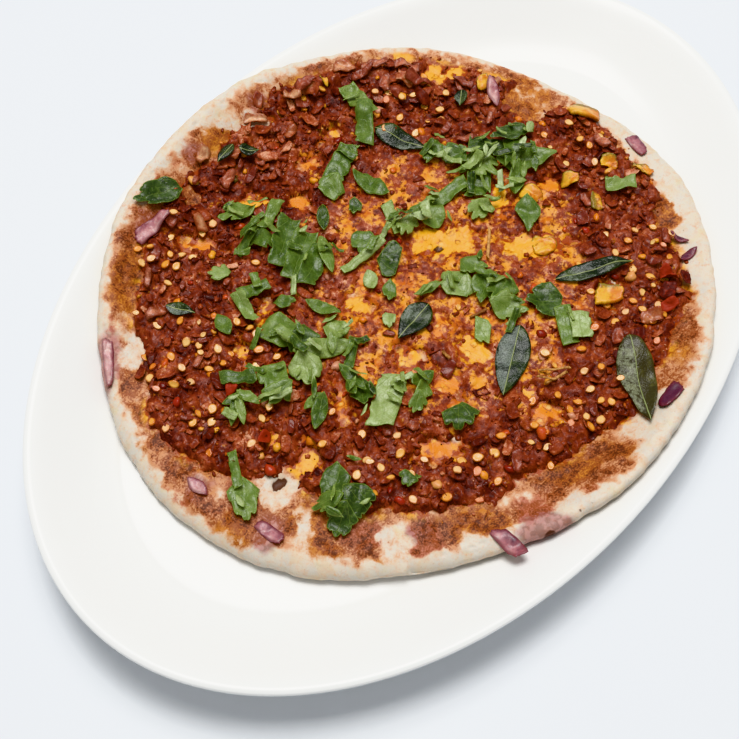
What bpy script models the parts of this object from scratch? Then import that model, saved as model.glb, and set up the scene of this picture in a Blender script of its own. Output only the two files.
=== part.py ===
"""Uttapam on its oval white plate, with chilli masala, herbs and onion on top.

Sizes below are in millimetres and turns in degrees; make_object turns them into metres.
The plate's centre is the origin, X runs along the plate and the table is at Z = 0.
"""
import math
import random
from collections import defaultdict, namedtuple

import bmesh
import bpy
from mathutils import Vector, noise
from mathutils.bvhtree import BVHTree
from mathutils.geometry import delaunay_2d_cdt

MM = 0.001

# Plate
PLATE_HALF_LENGTH = 150.0
PLATE_HALF_WIDTH = 103.0
PLATE_SIDES = 56
HALVINGS = 30
# Each step of a profile is the inset from the plate's edge and the height above the table.
PLATE_TOP = ((1.4, 22.0), (4.5, 20.8), (10.0, 17.0), (16.0, 12.9), (21.0, 9.9),
             (26.0, 7.9), (32.0, 7.0), (60.0, 6.6))
PLATE_UNDER = ((60.0, 2.6), (39.0, 2.3), (37.0, 0.0), (33.0, 0.0), (31.0, 1.4),
               (22.0, 4.9), (12.0, 10.6), (4.0, 16.6), (0.0, 20.4))

# Batter
FOOD_CENTRE = (1.6, 2.7)
FOOD_RADIUS = 102.9
# Waves that make the outline uneven: size, number round the outline and start in radians.
FOOD_WAVES = ((4.6, 2, 0.23), (1.0, 3, -2.31), (0.55, 4, 0.59), (1.05, 5, 3.02),
              (0.55, 6, -2.48), (0.35, 7, 3.09), (0.4, 8, 3.07))
BATTER_THICK = 6.7
BATTER_EDGE = 2.4
EDGE_ROUNDING = 3.2
BATTER_BUMP = 0.3
BUMP_LENGTH = 7.0
PLATE_GAP = 0.8
# The batter and the leaves bridge bends of the plate that are narrower than these spans.
BATTER_SPAN = 4.0
LEAF_SPAN = 6.0
OUTLINE_POINTS = 72
# How far inside the outline each ring of points on the batter's top lies.
TOP_RINGS = (0.0, 2.2, 5.6)
UNDER_RINGS = (1.6, 14.0, 45.0)
CELL = 6.0
CELL_JITTER = 0.22
SHARP_ANGLE = 40.0

# Masala
GAP = 0.3
# The bare rim's width at every 15 degrees round the food, from the plate's +X end.
BARE_RIM = (10.8, 11.0, 17.5, 12.3, 9.0, 14.6, 16.0, 11.8, 10.9, 11.7, 13.6, 12.6,
            22.0, 24.0, 19.0, 16.4, 20.2, 21.0, 13.5, 13.7, 8.5, 12.2, 11.7, 10.0)
RIM_RAGGED = 2.2
RIM_WAVES = 9.0
MASALA_THICK = 2.3
MASALA_THIN = 1.2
MASALA_EDGE = 0.8
# Height of the crags in the thin middle and in the thick part around it, and their length.
CRAG_THIN = 0.5
CRAG_THICK = 1.44
CRAG_LENGTH = 4.3
# How suddenly the thin middle gives way to the thick part.
THIN_STEEPNESS = 6.0
THIN_CENTRE = (5.0, -12.0)
THIN_RADII = (52.0, 44.0)
# The patches lie along and across the turn from which the food is looked at.
PATCH_TURN = -55.0
Patch = namedtuple("Patch", "x y along across")
BARE_PATCHES = (
    Patch(-3, 64, 5.2, 4.8), Patch(-27, 69, 4.5, 3.0), Patch(37, 61, 4.0, 4.4),
    Patch(-36, 35, 4.0, 4.4), Patch(-16, 11, 5.0, 5.0), Patch(20, 3, 12.5, 7.5),
    Patch(48, -4, 4.0, 6.0), Patch(38, -24, 12.8, 6.0), Patch(-8, -30, 5.2, 7.0),
    Patch(-24, -29, 5.0, 4.4), Patch(-23, -14, 4.6, 4.2), Patch(-48, -5, 4.0, 7.0),
    Patch(-70, -9, 4.0, 6.0), Patch(-45, -40, 7.8, 4.4), Patch(-14, -61, 5.2, 4.2),
    Patch(63, -15, 4.2, 4.6), Patch(92, 11, 9.0, 9.0), Patch(-52, 31, 3.6, 5.0),
)

# Seeds and flakes of chilli
SEED_SIZE = (3.2, 2.7, 1.5)
SEED_PLACES = (
    (-42, 72), (-44, 82), (-27, 80), (62, 56), (57, 45), (68, 40), (76, 36), (-64, 14),
    (-55, -17), (-62, -26), (84, -16), (79, -25), (80, -4), (47, -58), (36, -63), (36, -72),
    (-61, 60), (-69, 44), (-77, 50), (-78, 28), (-88, 33), (-87, 18), (56, -50), (25, -77),
    (31, -66), (19, -58), (5, -63), (-2, -70), (-12, -73), (-22, -64), (-31, -71),
    (-37, -56), (-45, -49), (-64, -44), (49, 73), (-49, 64), (-57, 71), (-73, 58),
)
FLAKE_COUNT = 18
FLAKE_SIZE = (5.2, 3.2, 1.7)
# Nearest and farthest that a flake lies from the masala's edge, and its least spacing.
FLAKE_INWARD = (8.0, 53.0)
FLAKE_SPACING = 7.0
# How high the middle of a seed or flake stands above the masala.
SEED_RISE = 0.25
FLAKE_RISE = 0.3

# Leaves and slices
LEAF_THICK = 0.6
LEAF_RIPPLE = 1.0
RIPPLE_LENGTH = 9.0
LEAF_CLEAR = 0.35
SETTLE_STEP = 0.25
HEAP_STEP = 0.22
FOLD_RISE = 0.22
# Faces of a joined piece that lie flatter than these turns to each other are merged.
MASALA_FLAT = 1.5
LEAF_FLAT = 4.0
SLIVER = 0.02
NEST_STEP = 0.15
NEST_TRIES = 30
SLICE_THICK = 1.3
PEPPER_THICK = 2.6

Piece = namedtuple("Piece", "shape x y turn length width tip_rise", defaults=(1.6,))

ONION_SLICES = {
    "onion_slice_left": Piece("strip", -34, 83, -10, 14, 5.5),
    "onion_slice_far_left": Piece("strip", -80.5, 63, -137, 14, 4),
    "onion_slice_low_left": Piece("blade", -97, 13.5, -97, 8.5, 4.5),
    "onion_slice_front": Piece("strip", -96, -13, -93, 9, 5),
    "onion_slice_near": Piece("strip", -59.5, -75, -107, 11, 6),
    "onion_slice_far_right": Piece("strip", 97, -32, -121, 9, 6),
    "onion_slice_right_upper": Piece("blade", 67.5, -63.5, -84, 7, 3),
    "onion_slice_right_lower": Piece("blade", 62.5, -69.5, -16, 7.5, 3.4),
    "onion_slice_near_right": Piece("strip", 8.5, -90, 174, 9, 4.5),
    "onion_slice_back": Piece("blade", 85, 22, -136, 14, 4.6),
}
PEPPER_PIECES = {
    "pepper_piece_far": Piece("chunk", 98, -9.5, -68, 9, 7.5),
    "pepper_piece_right": Piece("chunk", 34.5, -55, -60, 8, 8.5),
}
CURRY_LEAVES = {
    "curry_leaf_back": Piece("curry", 48.5, 38, -78, 20, 8.5),
    "curry_leaf_slim": Piece("curry", 39, -46.5, -43, 26.5, 6.5),
    "curry_leaf_broad": Piece("curry", -6, -42, -160, 28, 11),
    "curry_leaf_folded": Piece("curry", -11.5, -8, 178, 17, 9.5),
    "curry_leaf_right": Piece("curry", 9, -79, -140, 32, 12),
    "curry_leaf_scrap_far": Piece("curry", 4.5, 82, -176, 9.5, 4.4),
    "curry_leaf_scrap_back": Piece("curry", 11, 76.5, -52, 7, 5),
    "curry_leaf_scrap_left": Piece("curry", -52.5, 56, -74, 10.5, 4.6),
    "curry_leaf_scrap_top": Piece("curry", 75.5, 30, -152, 8.5, 4.6),
}
CORIANDER_LEAVES = {
    "coriander_heap_left": (
        Piece("fan", -10, 65, 156, 15, 11, 4.0), Piece("fan", -15, 52.5, -93, 15, 10, 3.0),
        Piece("strip", -6, 55, 13, 14, 4, 4.0), Piece("strip", -19, 54.5, -3, 10, 3.5),
        Piece("strip", -11.5, 44.5, -154, 20.5, 7.5, 3.0), Piece("strip", -12, 37.5, -158, 20.5, 8),
        Piece("strip", -14, 31, -164, 18.5, 7, 4.0), Piece("blade", -7, 30.5, -129, 16, 5, 3.0)),
    "coriander_heap_back": (
        Piece("fan", 47.5, 4.5, 176, 16, 12.5, 3.0), Piece("fan", 55, 10, -97, 18, 14.5, 5.0),
        Piece("fan", 53, 18.5, 87, 12, 10, 4.0), Piece("fan", 50, 25.5, -163, 12, 7, 4.0),
        Piece("strip", 63, 10.5, -61, 14, 6.5, 4.0), Piece("strip", 34, 12.5, 163, 24, 5.5, 4.0),
        Piece("strip", 18.5, 20.5, -126, 14, 4.5, 3.0), Piece("fan", 19, 15.5, -164, 11, 8, 4.0),
        Piece("fan", 27, 10, -176, 13, 9, 4.0), Piece("fan", 40, -1, -171, 12, 10, 4.0),
        Piece("blade", 66, -3.5, -47, 22, 8.5, 5.0), Piece("fan", 65.5, 2.5, -166, 15, 10, 3.0),
        Piece("fan", 72, 6, 144, 16, 10, 5.0), Piece("blade", 57, -5.5, -153, 14, 6, 3.0)),
    "coriander_heap_front": (
        Piece("fan", -41, 24.5, 148, 14, 13, 4.0), Piece("fan", -39, 17, -148, 13, 12, 3.0),
        Piece("fan", -29, 10.5, -128, 11, 9, 4.0), Piece("blade", -37.5, 9.5, 142, 20, 7, 5.0),
        Piece("fan", -47, 9.5, -130, 12, 12, 3.0), Piece("fan", -55, 15, -163, 13, 13.5, 5.0),
        Piece("fan", -59, 11.5, 162, 12, 9), Piece("strip", -33, 1.5, -155, 12, 3.4)),
    "coriander_heap_centre": (
        Piece("strip", -40, -17.5, -158, 21, 9, 3.0), Piece("fan", -43, -9.5, -138, 12, 9, 3.0),
        Piece("blade", -41, -4.5, -106, 14, 4), Piece("fan", -34.5, -18, -134, 9, 5.5, 3.0)),
    "coriander_heap_right": (
        Piece("fan", 8, -12, -177, 14, 13, 4.0), Piece("fan", 17.5, -12.5, -96, 11, 10, 4.0),
        Piece("fan", 13, -20, -164, 14, 11, 2.0), Piece("fan", 15.5, -25, -176, 14, 11, 5.0),
        Piece("fan", 10.5, -30.5, -69, 13, 11, 3.0), Piece("strip", 1.5, -5.5, 162, 9, 3)),
    "coriander_heap_near": (
        Piece("fan", -72.5, -21, -158, 16.5, 11, 3.0), Piece("fan", -74, -30, -100, 13, 11, 5.0),
        Piece("fan", -81.5, -29, -165, 10, 10, 3.0), Piece("fan", -79.5, -23, 142, 10, 7, 3.0)),
    "coriander_leaf_bent_far": (
        Piece("strip", 53, 59.5, -112, 17, 7), Piece("strip", 45.5, 51.5, -145, 18, 6.5)),
    "coriander_leaf_bent_upper": (
        Piece("strip", 26.5, 48.5, -167, 16, 7.5), Piece("fan", 16, 45.5, -174, 12, 10)),
    "coriander_leaf_folded": (Piece("blade", 26.5, 35.5, -92, 16, 7.5, 2.2),),
    "coriander_leaf_round": (Piece("fan", 47, -16, -146, 14, 10),),
    "coriander_leaf_dark": (Piece("fan", 4, 11.5, -66, 10, 15, 2.0),),
    "coriander_leaf_pale": (Piece("blade", -6, 13, -132, 9, 5),),
    "coriander_leaf_grey": (Piece("fan", -6, 5, -146, 9, 6),),
    "coriander_leaf_olive": (
        Piece("fan", 5, 24, -148, 12, 9), Piece("strip", -0.5, 20, -15, 18, 3)),
    "coriander_leaf_chip": (Piece("fan", -15.5, -1, -141, 8, 5),),
    "coriander_leaf_narrow": (Piece("blade", 5, 40.5, -142, 11.5, 4.5),),
    "coriander_leaf_small": (Piece("fan", 15.5, 35, -145, 7.5, 6.5),),
    "coriander_leaf_rim": (Piece("fan", -22, 88.5, 158, 19, 10, 2.0),),
    "coriander_leaf_yellow": (Piece("fan", -34, 54, 128, 8, 8),),
    "coriander_leaf_bent_left": (
        Piece("strip", -32.5, 41.5, 153, 11, 4.5), Piece("strip", -39.5, 40, -115, 12, 4.5)),
    "coriander_leaf_dark_round": (Piece("fan", -31, 30, -55, 7.5, 6),),
    "coriander_leaf_arch": (Piece("blade", -24.5, 19, -75, 12.5, 5, 1.8),),
    "coriander_leaf_curl": (Piece("blade", -49, 41, -116, 10, 5.5, 1.6),),
    "coriander_leaf_strip": (Piece("strip", -62.5, 25, -55, 11.5, 4.5),),
    "coriander_sprig_left": (
        Piece("blade", -68, 20.5, 152, 10, 4), Piece("blade", -71, 18.5, -155, 13, 3.6),
        Piece("blade", -71, 16.5, -131, 10, 3.2), Piece("blade", -66.5, 17, -89, 9, 3.8)),
    "coriander_leaf_pair": (
        Piece("blade", -54.5, 0.5, 171, 9, 4), Piece("blade", -56.5, -3, -156, 14, 5)),
    "coriander_sprig_centre": (
        Piece("blade", -28, -22.5, 168, 10, 5), Piece("fan", -31.5, -25, 162, 9, 6.5),
        Piece("fan", -36.5, -26, -164, 7.5, 6.5)),
    "coriander_leaf_broad": (Piece("fan", -32, -38.5, -147, 11, 14),),
    "coriander_leaf_low": (Piece("fan", -59, -38.5, -149, 7, 7),),
    "coriander_leaf_notched": (Piece("fan", 20.5, -40, 132, 15, 14),),
    "coriander_leaf_triangle": (Piece("fan", -1.5, -28, -117, 12, 8),),
    "coriander_leaf_double": (
        Piece("strip", 15, -50, -137, 15, 6), Piece("strip", 17.5, -53.5, -143, 11, 7)),
    "coriander_leaf_right": (Piece("strip", 74.5, -36.5, -48, 10.5, 5.5),),
    "coriander_leaf_near_left": (
        Piece("fan", -92, -0.5, -134, 15, 10), Piece("strip", -86.5, 7, -133, 12, 3)),
}

Solid = namedtuple("Solid", "verts faces")
# Height above everything, from which rays look down.
SKY = 80.0
DOWN = Vector((0.0, 0.0, -1.0))


def wave(*place, seed=0.0):
    """Smooth noise between about -1 and 1 at a place, changed by its seed."""
    x, y = place
    return noise.noise(Vector((x, y, seed)))


def food_radius(angle):
    """Distance from the food's centre to its outline at an angle in radians."""
    waves = (size * math.cos(count * angle + start) for size, count, start in FOOD_WAVES)
    return FOOD_RADIUS + sum(waves)


def food_polar(x, y):
    """Angle and distance of a point from the food's centre."""
    return (math.atan2(y - FOOD_CENTRE[1], x - FOOD_CENTRE[0]),
            math.hypot(x - FOOD_CENTRE[0], y - FOOD_CENTRE[1]))


def edge_distance(x, y):
    """How far inside the food's outline a point lies."""
    angle, reach = food_polar(x, y)
    return food_radius(angle) - reach


def plate_inset(x, y):
    """Inset from the plate's edge of the ring that passes through a point, found by halving."""
    low, high = 0.0, PLATE_HALF_WIDTH - 0.01
    for _ in range(HALVINGS):
        inset = (low + high) / 2
        reach = math.hypot(x / (PLATE_HALF_LENGTH - inset), y / (PLATE_HALF_WIDTH - inset))
        if reach < 1:
            low = inset
        else:
            high = inset
    return (low + high) / 2


def plate_height(x, y):
    """Height of the plate's upper face at a point."""
    inset = plate_inset(x, y)
    steps = PLATE_UNDER[-1:] + PLATE_TOP
    for (near, near_height), (far, far_height) in zip(steps, steps[1:]):
        if inset <= far:
            share = (inset - near) / (far - near)
            return near_height + share * (far_height - near_height)
    return steps[-1][1]


def bridged_height(x, y, span):
    """Mean height of the plate's upper face over a square of twice a span."""
    steps = (-span, 0.0, span)
    around = [plate_height(x + dx, y + dy) for dx in steps for dy in steps]
    return sum(around) / len(around)


def batter_under(x, y):
    """Height of the batter's underside, which lies on the plate and up its rim."""
    return max(plate_height(x, y), bridged_height(x, y, BATTER_SPAN)) + PLATE_GAP


def batter_top(x, y):
    """Height of the batter's bubbled upper face."""
    inward = max(edge_distance(x, y), 0.0)
    rounded = 1 - math.exp(-inward / EDGE_ROUNDING)
    bump = BATTER_BUMP * wave(x / BUMP_LENGTH, y / BUMP_LENGTH, seed=3.0) * rounded
    return batter_under(x, y) + BATTER_EDGE + (BATTER_THICK - BATTER_EDGE) * rounded + bump


def smooth_cover(x, y):
    """Smooth surface that a leaf bends along."""
    return bridged_height(x, y, LEAF_SPAN) + PLATE_GAP + BATTER_THICK


def bare_rim_width(angle):
    """Width of the rim that the masala leaves bare, at an angle in radians."""
    place = (angle / math.tau % 1) * len(BARE_RIM)
    hour = int(place)
    share = (1 - math.cos(math.pi * (place - hour))) / 2
    near, far = BARE_RIM[hour % len(BARE_RIM)], BARE_RIM[(hour + 1) % len(BARE_RIM)]
    ragged = wave(RIM_WAVES * math.cos(angle), RIM_WAVES * math.sin(angle))
    return near + share * (far - near) + RIM_RAGGED * ragged


def in_patch(x, y):
    """Whether a point lies in a patch where the batter shows through the masala."""
    turn = math.radians(PATCH_TURN)
    for patch in BARE_PATCHES:
        dx, dy = x - patch.x, y - patch.y
        along = dx * math.cos(turn) + dy * math.sin(turn)
        across = dy * math.cos(turn) - dx * math.sin(turn)
        if math.hypot(along / patch.along, across / patch.across) < 1:
            return True
    return False


def masala_depth(x, y):
    """Thickness of the masala, thin and smooth in the middle and craggy around it."""
    away = math.hypot((x - THIN_CENTRE[0]) / THIN_RADII[0], (y - THIN_CENTRE[1]) / THIN_RADII[1])
    share = 1 / (1 + math.exp(-THIN_STEEPNESS * (away - 1)))
    crag = CRAG_THIN + share * (CRAG_THICK - CRAG_THIN)
    depth = MASALA_THIN + share * (MASALA_THICK - MASALA_THIN)
    return max(MASALA_EDGE, depth + crag * wave(x / CRAG_LENGTH, y / CRAG_LENGTH, seed=8.0))


def outline_point(angle, inward):
    """Point that lies a distance inside the food's outline."""
    reach = food_radius(angle) - inward
    return (FOOD_CENTRE[0] + reach * math.cos(angle), FOOD_CENTRE[1] + reach * math.sin(angle))


def top_points():
    """Points of the food's upper face: rings along the outline, then a loose triangular grid."""
    draw = random.Random(58)
    angles = [math.tau * i / OUTLINE_POINTS for i in range(OUTLINE_POINTS)]
    points = [outline_point(angle, inward) for inward in TOP_RINGS for angle in angles]
    row_step = CELL * math.sqrt(3) / 2
    rows = int(1.2 * FOOD_RADIUS / row_step)
    columns = int(1.2 * FOOD_RADIUS / CELL)
    for row in range(-rows, rows + 1):
        for column in range(-columns, columns + 1):
            x = (column + 0.5 * (row % 2) + CELL_JITTER * draw.uniform(-1, 1)) * CELL
            y = row * row_step + CELL * CELL_JITTER * draw.uniform(-1, 1)
            if edge_distance(x, y) > TOP_RINGS[-1] + 0.7 * CELL:
                points.append((x, y))
    return points


def triangulate(points, outline_count):
    """Triangles inside the outline made by the first points, each turned to face up."""
    outline = list(range(outline_count))
    verts, _, faces, _, _, _ = delaunay_2d_cdt([Vector(p) for p in points], [], [outline], 1, 1e-5)
    if len(verts) != len(points):
        raise ValueError("the points of a face lie on one another")
    upward = []
    for face in faces:
        a, b, c = (verts[i] for i in face)
        turned = (b - a).cross(c - a) > 0
        upward.append(tuple(face) if turned else tuple(reversed(face)))
    return upward


def boundary(faces):
    """Edges that belong to one face only, each in its face's direction."""
    sides = {(a, b) for face in faces for a, b in zip(face, face[1:] + face[:1])}
    return [(a, b) for a, b in sides if (b, a) not in sides]


def make_sheet(points, faces, low, high):
    """Closed solid between two heights of the same triangles; low and high are lists."""
    used = sorted({i for face in faces for i in face})
    place = {old: new for new, old in enumerate(used)}
    count = len(used)
    verts = [(*points[i], high[i]) for i in used] + [(*points[i], low[i]) for i in used]
    top = [tuple(place[i] for i in face) for face in faces]
    under = [tuple(i + count for i in reversed(face)) for face in top]
    walls = []
    for a, b in sorted(boundary(top)):
        walls += [(b, a, a + count), (b, a + count, b + count)]
    return Solid(verts, top + under + walls)


def one_fan(faces):
    """Drop faces until the faces round every point hang together side by side."""
    faces = set(faces)
    changed = True
    while changed:
        changed = False
        around = defaultdict(list)
        for face in sorted(faces):
            for i in face:
                around[i].append(face)
        for i, ring in sorted(around.items()):
            groups = joined_groups(ring, [[j for j in face if j != i] for face in ring])
            for group in sorted(groups, key=len)[:-1]:
                faces -= set(group)
                changed = True
    return sorted(faces)


def joined_groups(items, links):
    """Split items into groups that share a link."""
    groups = []
    for item, link in zip(items, links):
        touching = [group for group in groups if group[1] & set(link)]
        merged = ([item], set(link))
        for group in touching:
            groups.remove(group)
            merged = (merged[0] + group[0], merged[1] | group[1])
        groups.append(merged)
    return [group[0] for group in groups]


def largest_piece(faces):
    """The faces of the largest connected piece."""
    sides = [[tuple(sorted(side)) for side in zip(face, face[1:] + face[:1])] for face in faces]
    return sorted(max(joined_groups(faces, sides), key=len))


def lofted_plate():
    """The plate: elliptical rings over the upper face, round the lip and back underneath."""
    rings = PLATE_TOP[::-1] + PLATE_UNDER[::-1]
    verts = []
    for inset, height in rings:
        for side in range(PLATE_SIDES):
            angle = math.tau * side / PLATE_SIDES
            verts.append(((PLATE_HALF_LENGTH - inset) * math.cos(angle),
                          (PLATE_HALF_WIDTH - inset) * math.sin(angle), height))
    faces = []
    for ring in range(len(rings) - 1):
        first, second = ring * PLATE_SIDES, (ring + 1) * PLATE_SIDES
        for side in range(PLATE_SIDES):
            after = (side + 1) % PLATE_SIDES
            faces.append((first + side, second + side, second + after))
            faces.append((first + side, second + after, first + after))
    top_centre, under_centre = len(verts), len(verts) + 1
    verts += [(0, 0, PLATE_TOP[-1][1]), (0, 0, PLATE_UNDER[0][1])]
    last = (len(rings) - 1) * PLATE_SIDES
    for side in range(PLATE_SIDES):
        after = (side + 1) % PLATE_SIDES
        faces.append((side, after, top_centre))
        faces.append((last + after, last + side, under_centre))
    return Solid(verts, faces)


def batter_solid(points, faces):
    """The uttapam's batter: the bubbled upper face and a plain underside on the plate."""
    verts = [(x, y, batter_top(x, y)) for x, y in points]
    solid_faces = list(faces)
    rim = list(range(OUTLINE_POINTS))
    for inward in UNDER_RINGS:
        ring = []
        for side in range(OUTLINE_POINTS):
            x, y = outline_point(math.tau * side / OUTLINE_POINTS, inward)
            ring.append(len(verts))
            verts.append((x, y, batter_under(x, y)))
        for side in range(OUTLINE_POINTS):
            after = (side + 1) % OUTLINE_POINTS
            solid_faces.append((rim[after], rim[side], ring[side]))
            solid_faces.append((rim[after], ring[side], ring[after]))
        rim = ring
    centre = len(verts)
    verts.append((*FOOD_CENTRE, batter_under(*FOOD_CENTRE)))
    for side in range(OUTLINE_POINTS):
        solid_faces.append((rim[(side + 1) % OUTLINE_POINTS], rim[side], centre))
    return Solid(verts, solid_faces)


def masala_solid(points, faces):
    """The masala: a craggy layer on the batter, open where the batter shows through."""
    covered = []
    for face in faces:
        x = sum(points[i][0] for i in face) / 3
        y = sum(points[i][1] for i in face) / 3
        if edge_distance(x, y) > bare_rim_width(food_polar(x, y)[0]) and not in_patch(x, y):
            covered.append(face)
    covered = one_fan(largest_piece(one_fan(covered)))
    edge = {i for side in boundary(covered) for i in side}
    low = [batter_top(x, y) + GAP for x, y in points]
    high = []
    for i, (x, y) in enumerate(points):
        depth = min(MASALA_EDGE, masala_depth(x, y)) if i in edge else masala_depth(x, y)
        high.append(low[i] + depth)
    return make_sheet(points, covered, low, high)


def fan_outline(lobes, start):
    """Lobed leaflet, cut straight at its base."""
    count = 9
    outline = []
    for i in range(count):
        angle = math.tau * i / count
        reach = 0.5 * (0.87 + 0.13 * math.cos(lobes * angle + start))
        outline.append((max(reach * math.cos(angle), -0.36), reach * math.sin(angle)))
    return outline, [(0.05, 0.02)]


def strip_outline(lobes, start):
    """Strip with cut ends and slightly uneven sides."""
    lean = 0.06 * math.sin(start + lobes)
    outline = [(-0.5, -0.44), (-0.05, -0.5), (0.46, -0.47), (0.5 + lean, 0.1),
               (0.43, 0.5), (0.02, 0.45), (-0.5 + lean, 0.42)]
    return outline, [(-0.2, 0.0), (0.2, 0.0)]


def blade_outline(lobes, start):
    """Slim leaf that narrows to both ends."""
    half = [(s - 0.5, 0.5 * math.sin(math.pi * s) ** 0.8) for s in (0.2, 0.5, 0.8)]
    outline = [(-0.5, 0.0)] + [(s, -t) for s, t in half] + [(0.5, 0.0)]
    outline += [(s, t + 0.04 * math.sin(start + lobes * s)) for s, t in reversed(half)]
    return outline, [(-0.18, 0.0), (0.2, 0.0)]


def curry_outline(lobes, start):
    """Curry leaf: an oval that narrows to a point, with points along its midrib."""
    half = [(s - 0.5, 0.5 * math.sin(math.pi * s ** 0.85) ** 0.85) for s in (0.12, 0.32, 0.55, 0.8)]
    outline = [(-0.5, 0.0)] + [(s, -t) for s, t in half] + [(0.5, 0.0)]
    outline += [(s, t) for s, t in reversed(half)]
    return outline, [(-0.25, 0.0), (0.0, 0.0), (0.25, 0.0)]


def chunk_outline(lobes, start):
    """Diced piece with cut corners."""
    outline = [(-0.5, -0.3), (-0.3, -0.5), (0.35, -0.5), (0.5, -0.3), (0.5, 0.35),
               (0.3, 0.5), (-0.32, 0.5), (-0.5, 0.3)]
    return outline, [(0.0, 0.0)]


OUTLINES = {"fan": fan_outline, "strip": strip_outline, "blade": blade_outline,
            "curry": curry_outline, "chunk": chunk_outline}


def leaf_rise(piece, x, y, s, t):
    """How far a point of a leaf stands off the surface that the leaf bends along."""
    if piece.shape == "chunk":
        return 0.0
    ripple = LEAF_RIPPLE * wave(x / RIPPLE_LENGTH, y / RIPPLE_LENGTH, seed=5.0)
    fold = FOLD_RISE * piece.width * abs(t) if piece.shape == "curry" else 0.0
    return ripple + fold + piece.tip_rise * max(s, 0.0)


def leaf_solid(piece, thick, extra=0.0):
    """Thin wavy solid of one piece, with both faces split into triangles alike."""
    start = (piece.x * 1.7 + piece.y * 2.3) % math.tau
    lobes = 3 + int(abs(piece.x + piece.y)) % 3
    outline, inner = OUTLINES[piece.shape](lobes, start)
    turn = math.radians(piece.turn)
    points, low = [], []
    for s, t in outline + inner:
        along, across = s * piece.length, t * piece.width
        x = piece.x + along * math.cos(turn) - across * math.sin(turn)
        y = piece.y + along * math.sin(turn) + across * math.cos(turn)
        points.append((x, y))
        low.append(smooth_cover(x, y) + leaf_rise(piece, x, y, s, t) + extra)
    faces = triangulate(points, len(outline))
    return make_sheet(points, faces, low, [height + thick for height in low])


def lifted(solid, lift):
    """The same solid, higher by a lift."""
    return Solid([(x, y, z + lift) for x, y, z in solid.verts], solid.faces)


def tree_of(solid):
    """Search tree of a solid's faces."""
    return BVHTree.FromPolygons(solid.verts, solid.faces)


def face_samples(solid):
    """Points spread over the faces of a solid that look down."""
    shares = ((1, 0, 0), (0, 1, 0), (0, 0, 1), (0.5, 0.5, 0), (0, 0.5, 0.5), (0.5, 0, 0.5),
              (0.34, 0.33, 0.33), (0.66, 0.17, 0.17), (0.17, 0.66, 0.17), (0.17, 0.17, 0.66))
    for face in solid.faces:
        a, b, c = (Vector(solid.verts[i]) for i in face)
        if (b - a).cross(c - a).z < 0:
            for i, j, k in shares:
                yield a * i + b * j + c * k


def settle(pieces, trees):
    """Lift a group of pieces until it lies just clear of everything below it."""
    lift = -math.inf
    for piece in pieces:
        for point in face_samples(piece):
            for tree in trees:
                hit = tree.ray_cast(Vector((point.x, point.y, SKY)), DOWN)[0]
                if hit is not None:
                    lift = max(lift, hit.z - point.z + LEAF_CLEAR)
    while any(tree_of(lifted(piece, lift)).overlap(tree) for piece in pieces for tree in trees):
        lift += SETTLE_STEP
    return [lifted(piece, lift) for piece in pieces]


def make_material(name, colour, roughness):
    """Plain finish of one kind of piece."""
    material = bpy.data.materials.get(name) or bpy.data.materials.new(name)
    material.use_nodes = True
    shader = material.node_tree.nodes["Principled BSDF"]
    shader.inputs["Base Color"].default_value = (*colour, 1.0)
    shader.inputs["Roughness"].default_value = roughness
    shader.inputs["Metallic"].default_value = 0.0
    return material


def round_off(piece, sharp_angle):
    """Shade a round piece smooth, except over edges that turn more than an angle."""
    piece.data.shade_smooth()
    piece.data.set_sharp_from_angle(angle=math.radians(sharp_angle))


def make_object(name, solid, finish, collection=None):
    """Blender object of a solid, in metres."""
    mesh = bpy.data.meshes.new(name)
    mesh.from_pydata([Vector(v) * MM for v in solid.verts], [], solid.faces)
    mesh.materials.append(finish)
    piece = bpy.data.objects.new(name, mesh)
    (collection or bpy.context.scene.collection).objects.link(piece)
    return piece


def fuse(base, parts, finish, flat_angle):
    """Join solids to a base object by one union, then remove the joined objects."""
    extras = bpy.data.collections.new(base.name + "_extras")
    bpy.context.scene.collection.children.link(extras)
    for number, part in enumerate(parts):
        make_object(f"{base.name}_part_{number}", part, finish, extras)
    union = base.modifiers.new("union", "BOOLEAN")
    union.operation = "UNION"
    union.operand_type = "COLLECTION"
    union.collection = extras
    union.solver = "MANIFOLD"
    bpy.context.view_layer.update()
    joined = bpy.data.meshes.new_from_object(base.evaluated_get(bpy.context.evaluated_depsgraph_get()))
    base.modifiers.clear()
    base.data = joined
    for part in list(extras.objects):
        bpy.data.objects.remove(part)
    bpy.data.collections.remove(extras)
    mesh = bmesh.new()
    mesh.from_mesh(base.data)
    keep_largest(mesh)
    merge_flat(mesh, flat_angle).to_mesh(base.data)


def keep_largest(mesh):
    """Drop loose scraps from a joined mesh, so that one body is left."""
    left = set(mesh.verts)
    islands = []
    while left:
        front = [left.pop()]
        island = set(front)
        while front:
            for edge in front.pop().link_edges:
                for vert in edge.verts:
                    if vert in left:
                        left.remove(vert)
                        island.add(vert)
                        front.append(vert)
        islands.append(island)
    islands.sort(key=len)
    for scrap in islands[:-1]:
        bmesh.ops.delete(mesh, geom=list(scrap), context="VERTS")


def merge_flat(mesh, flat_angle):
    """The mesh with its flat faces merged, by a smaller angle where merging would open it."""
    for angle in (flat_angle, flat_angle / 3, 0.1):
        merged = mesh.copy()
        bmesh.ops.dissolve_degenerate(merged, dist=SLIVER * MM, edges=merged.edges)
        bmesh.ops.dissolve_limit(merged, angle_limit=math.radians(angle),
                                 verts=merged.verts, edges=merged.edges)
        bmesh.ops.triangulate(merged, faces=merged.faces)
        if all(edge.is_manifold for edge in merged.edges):
            return merged
    bmesh.ops.triangulate(mesh, faces=mesh.faces)
    return mesh


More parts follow.
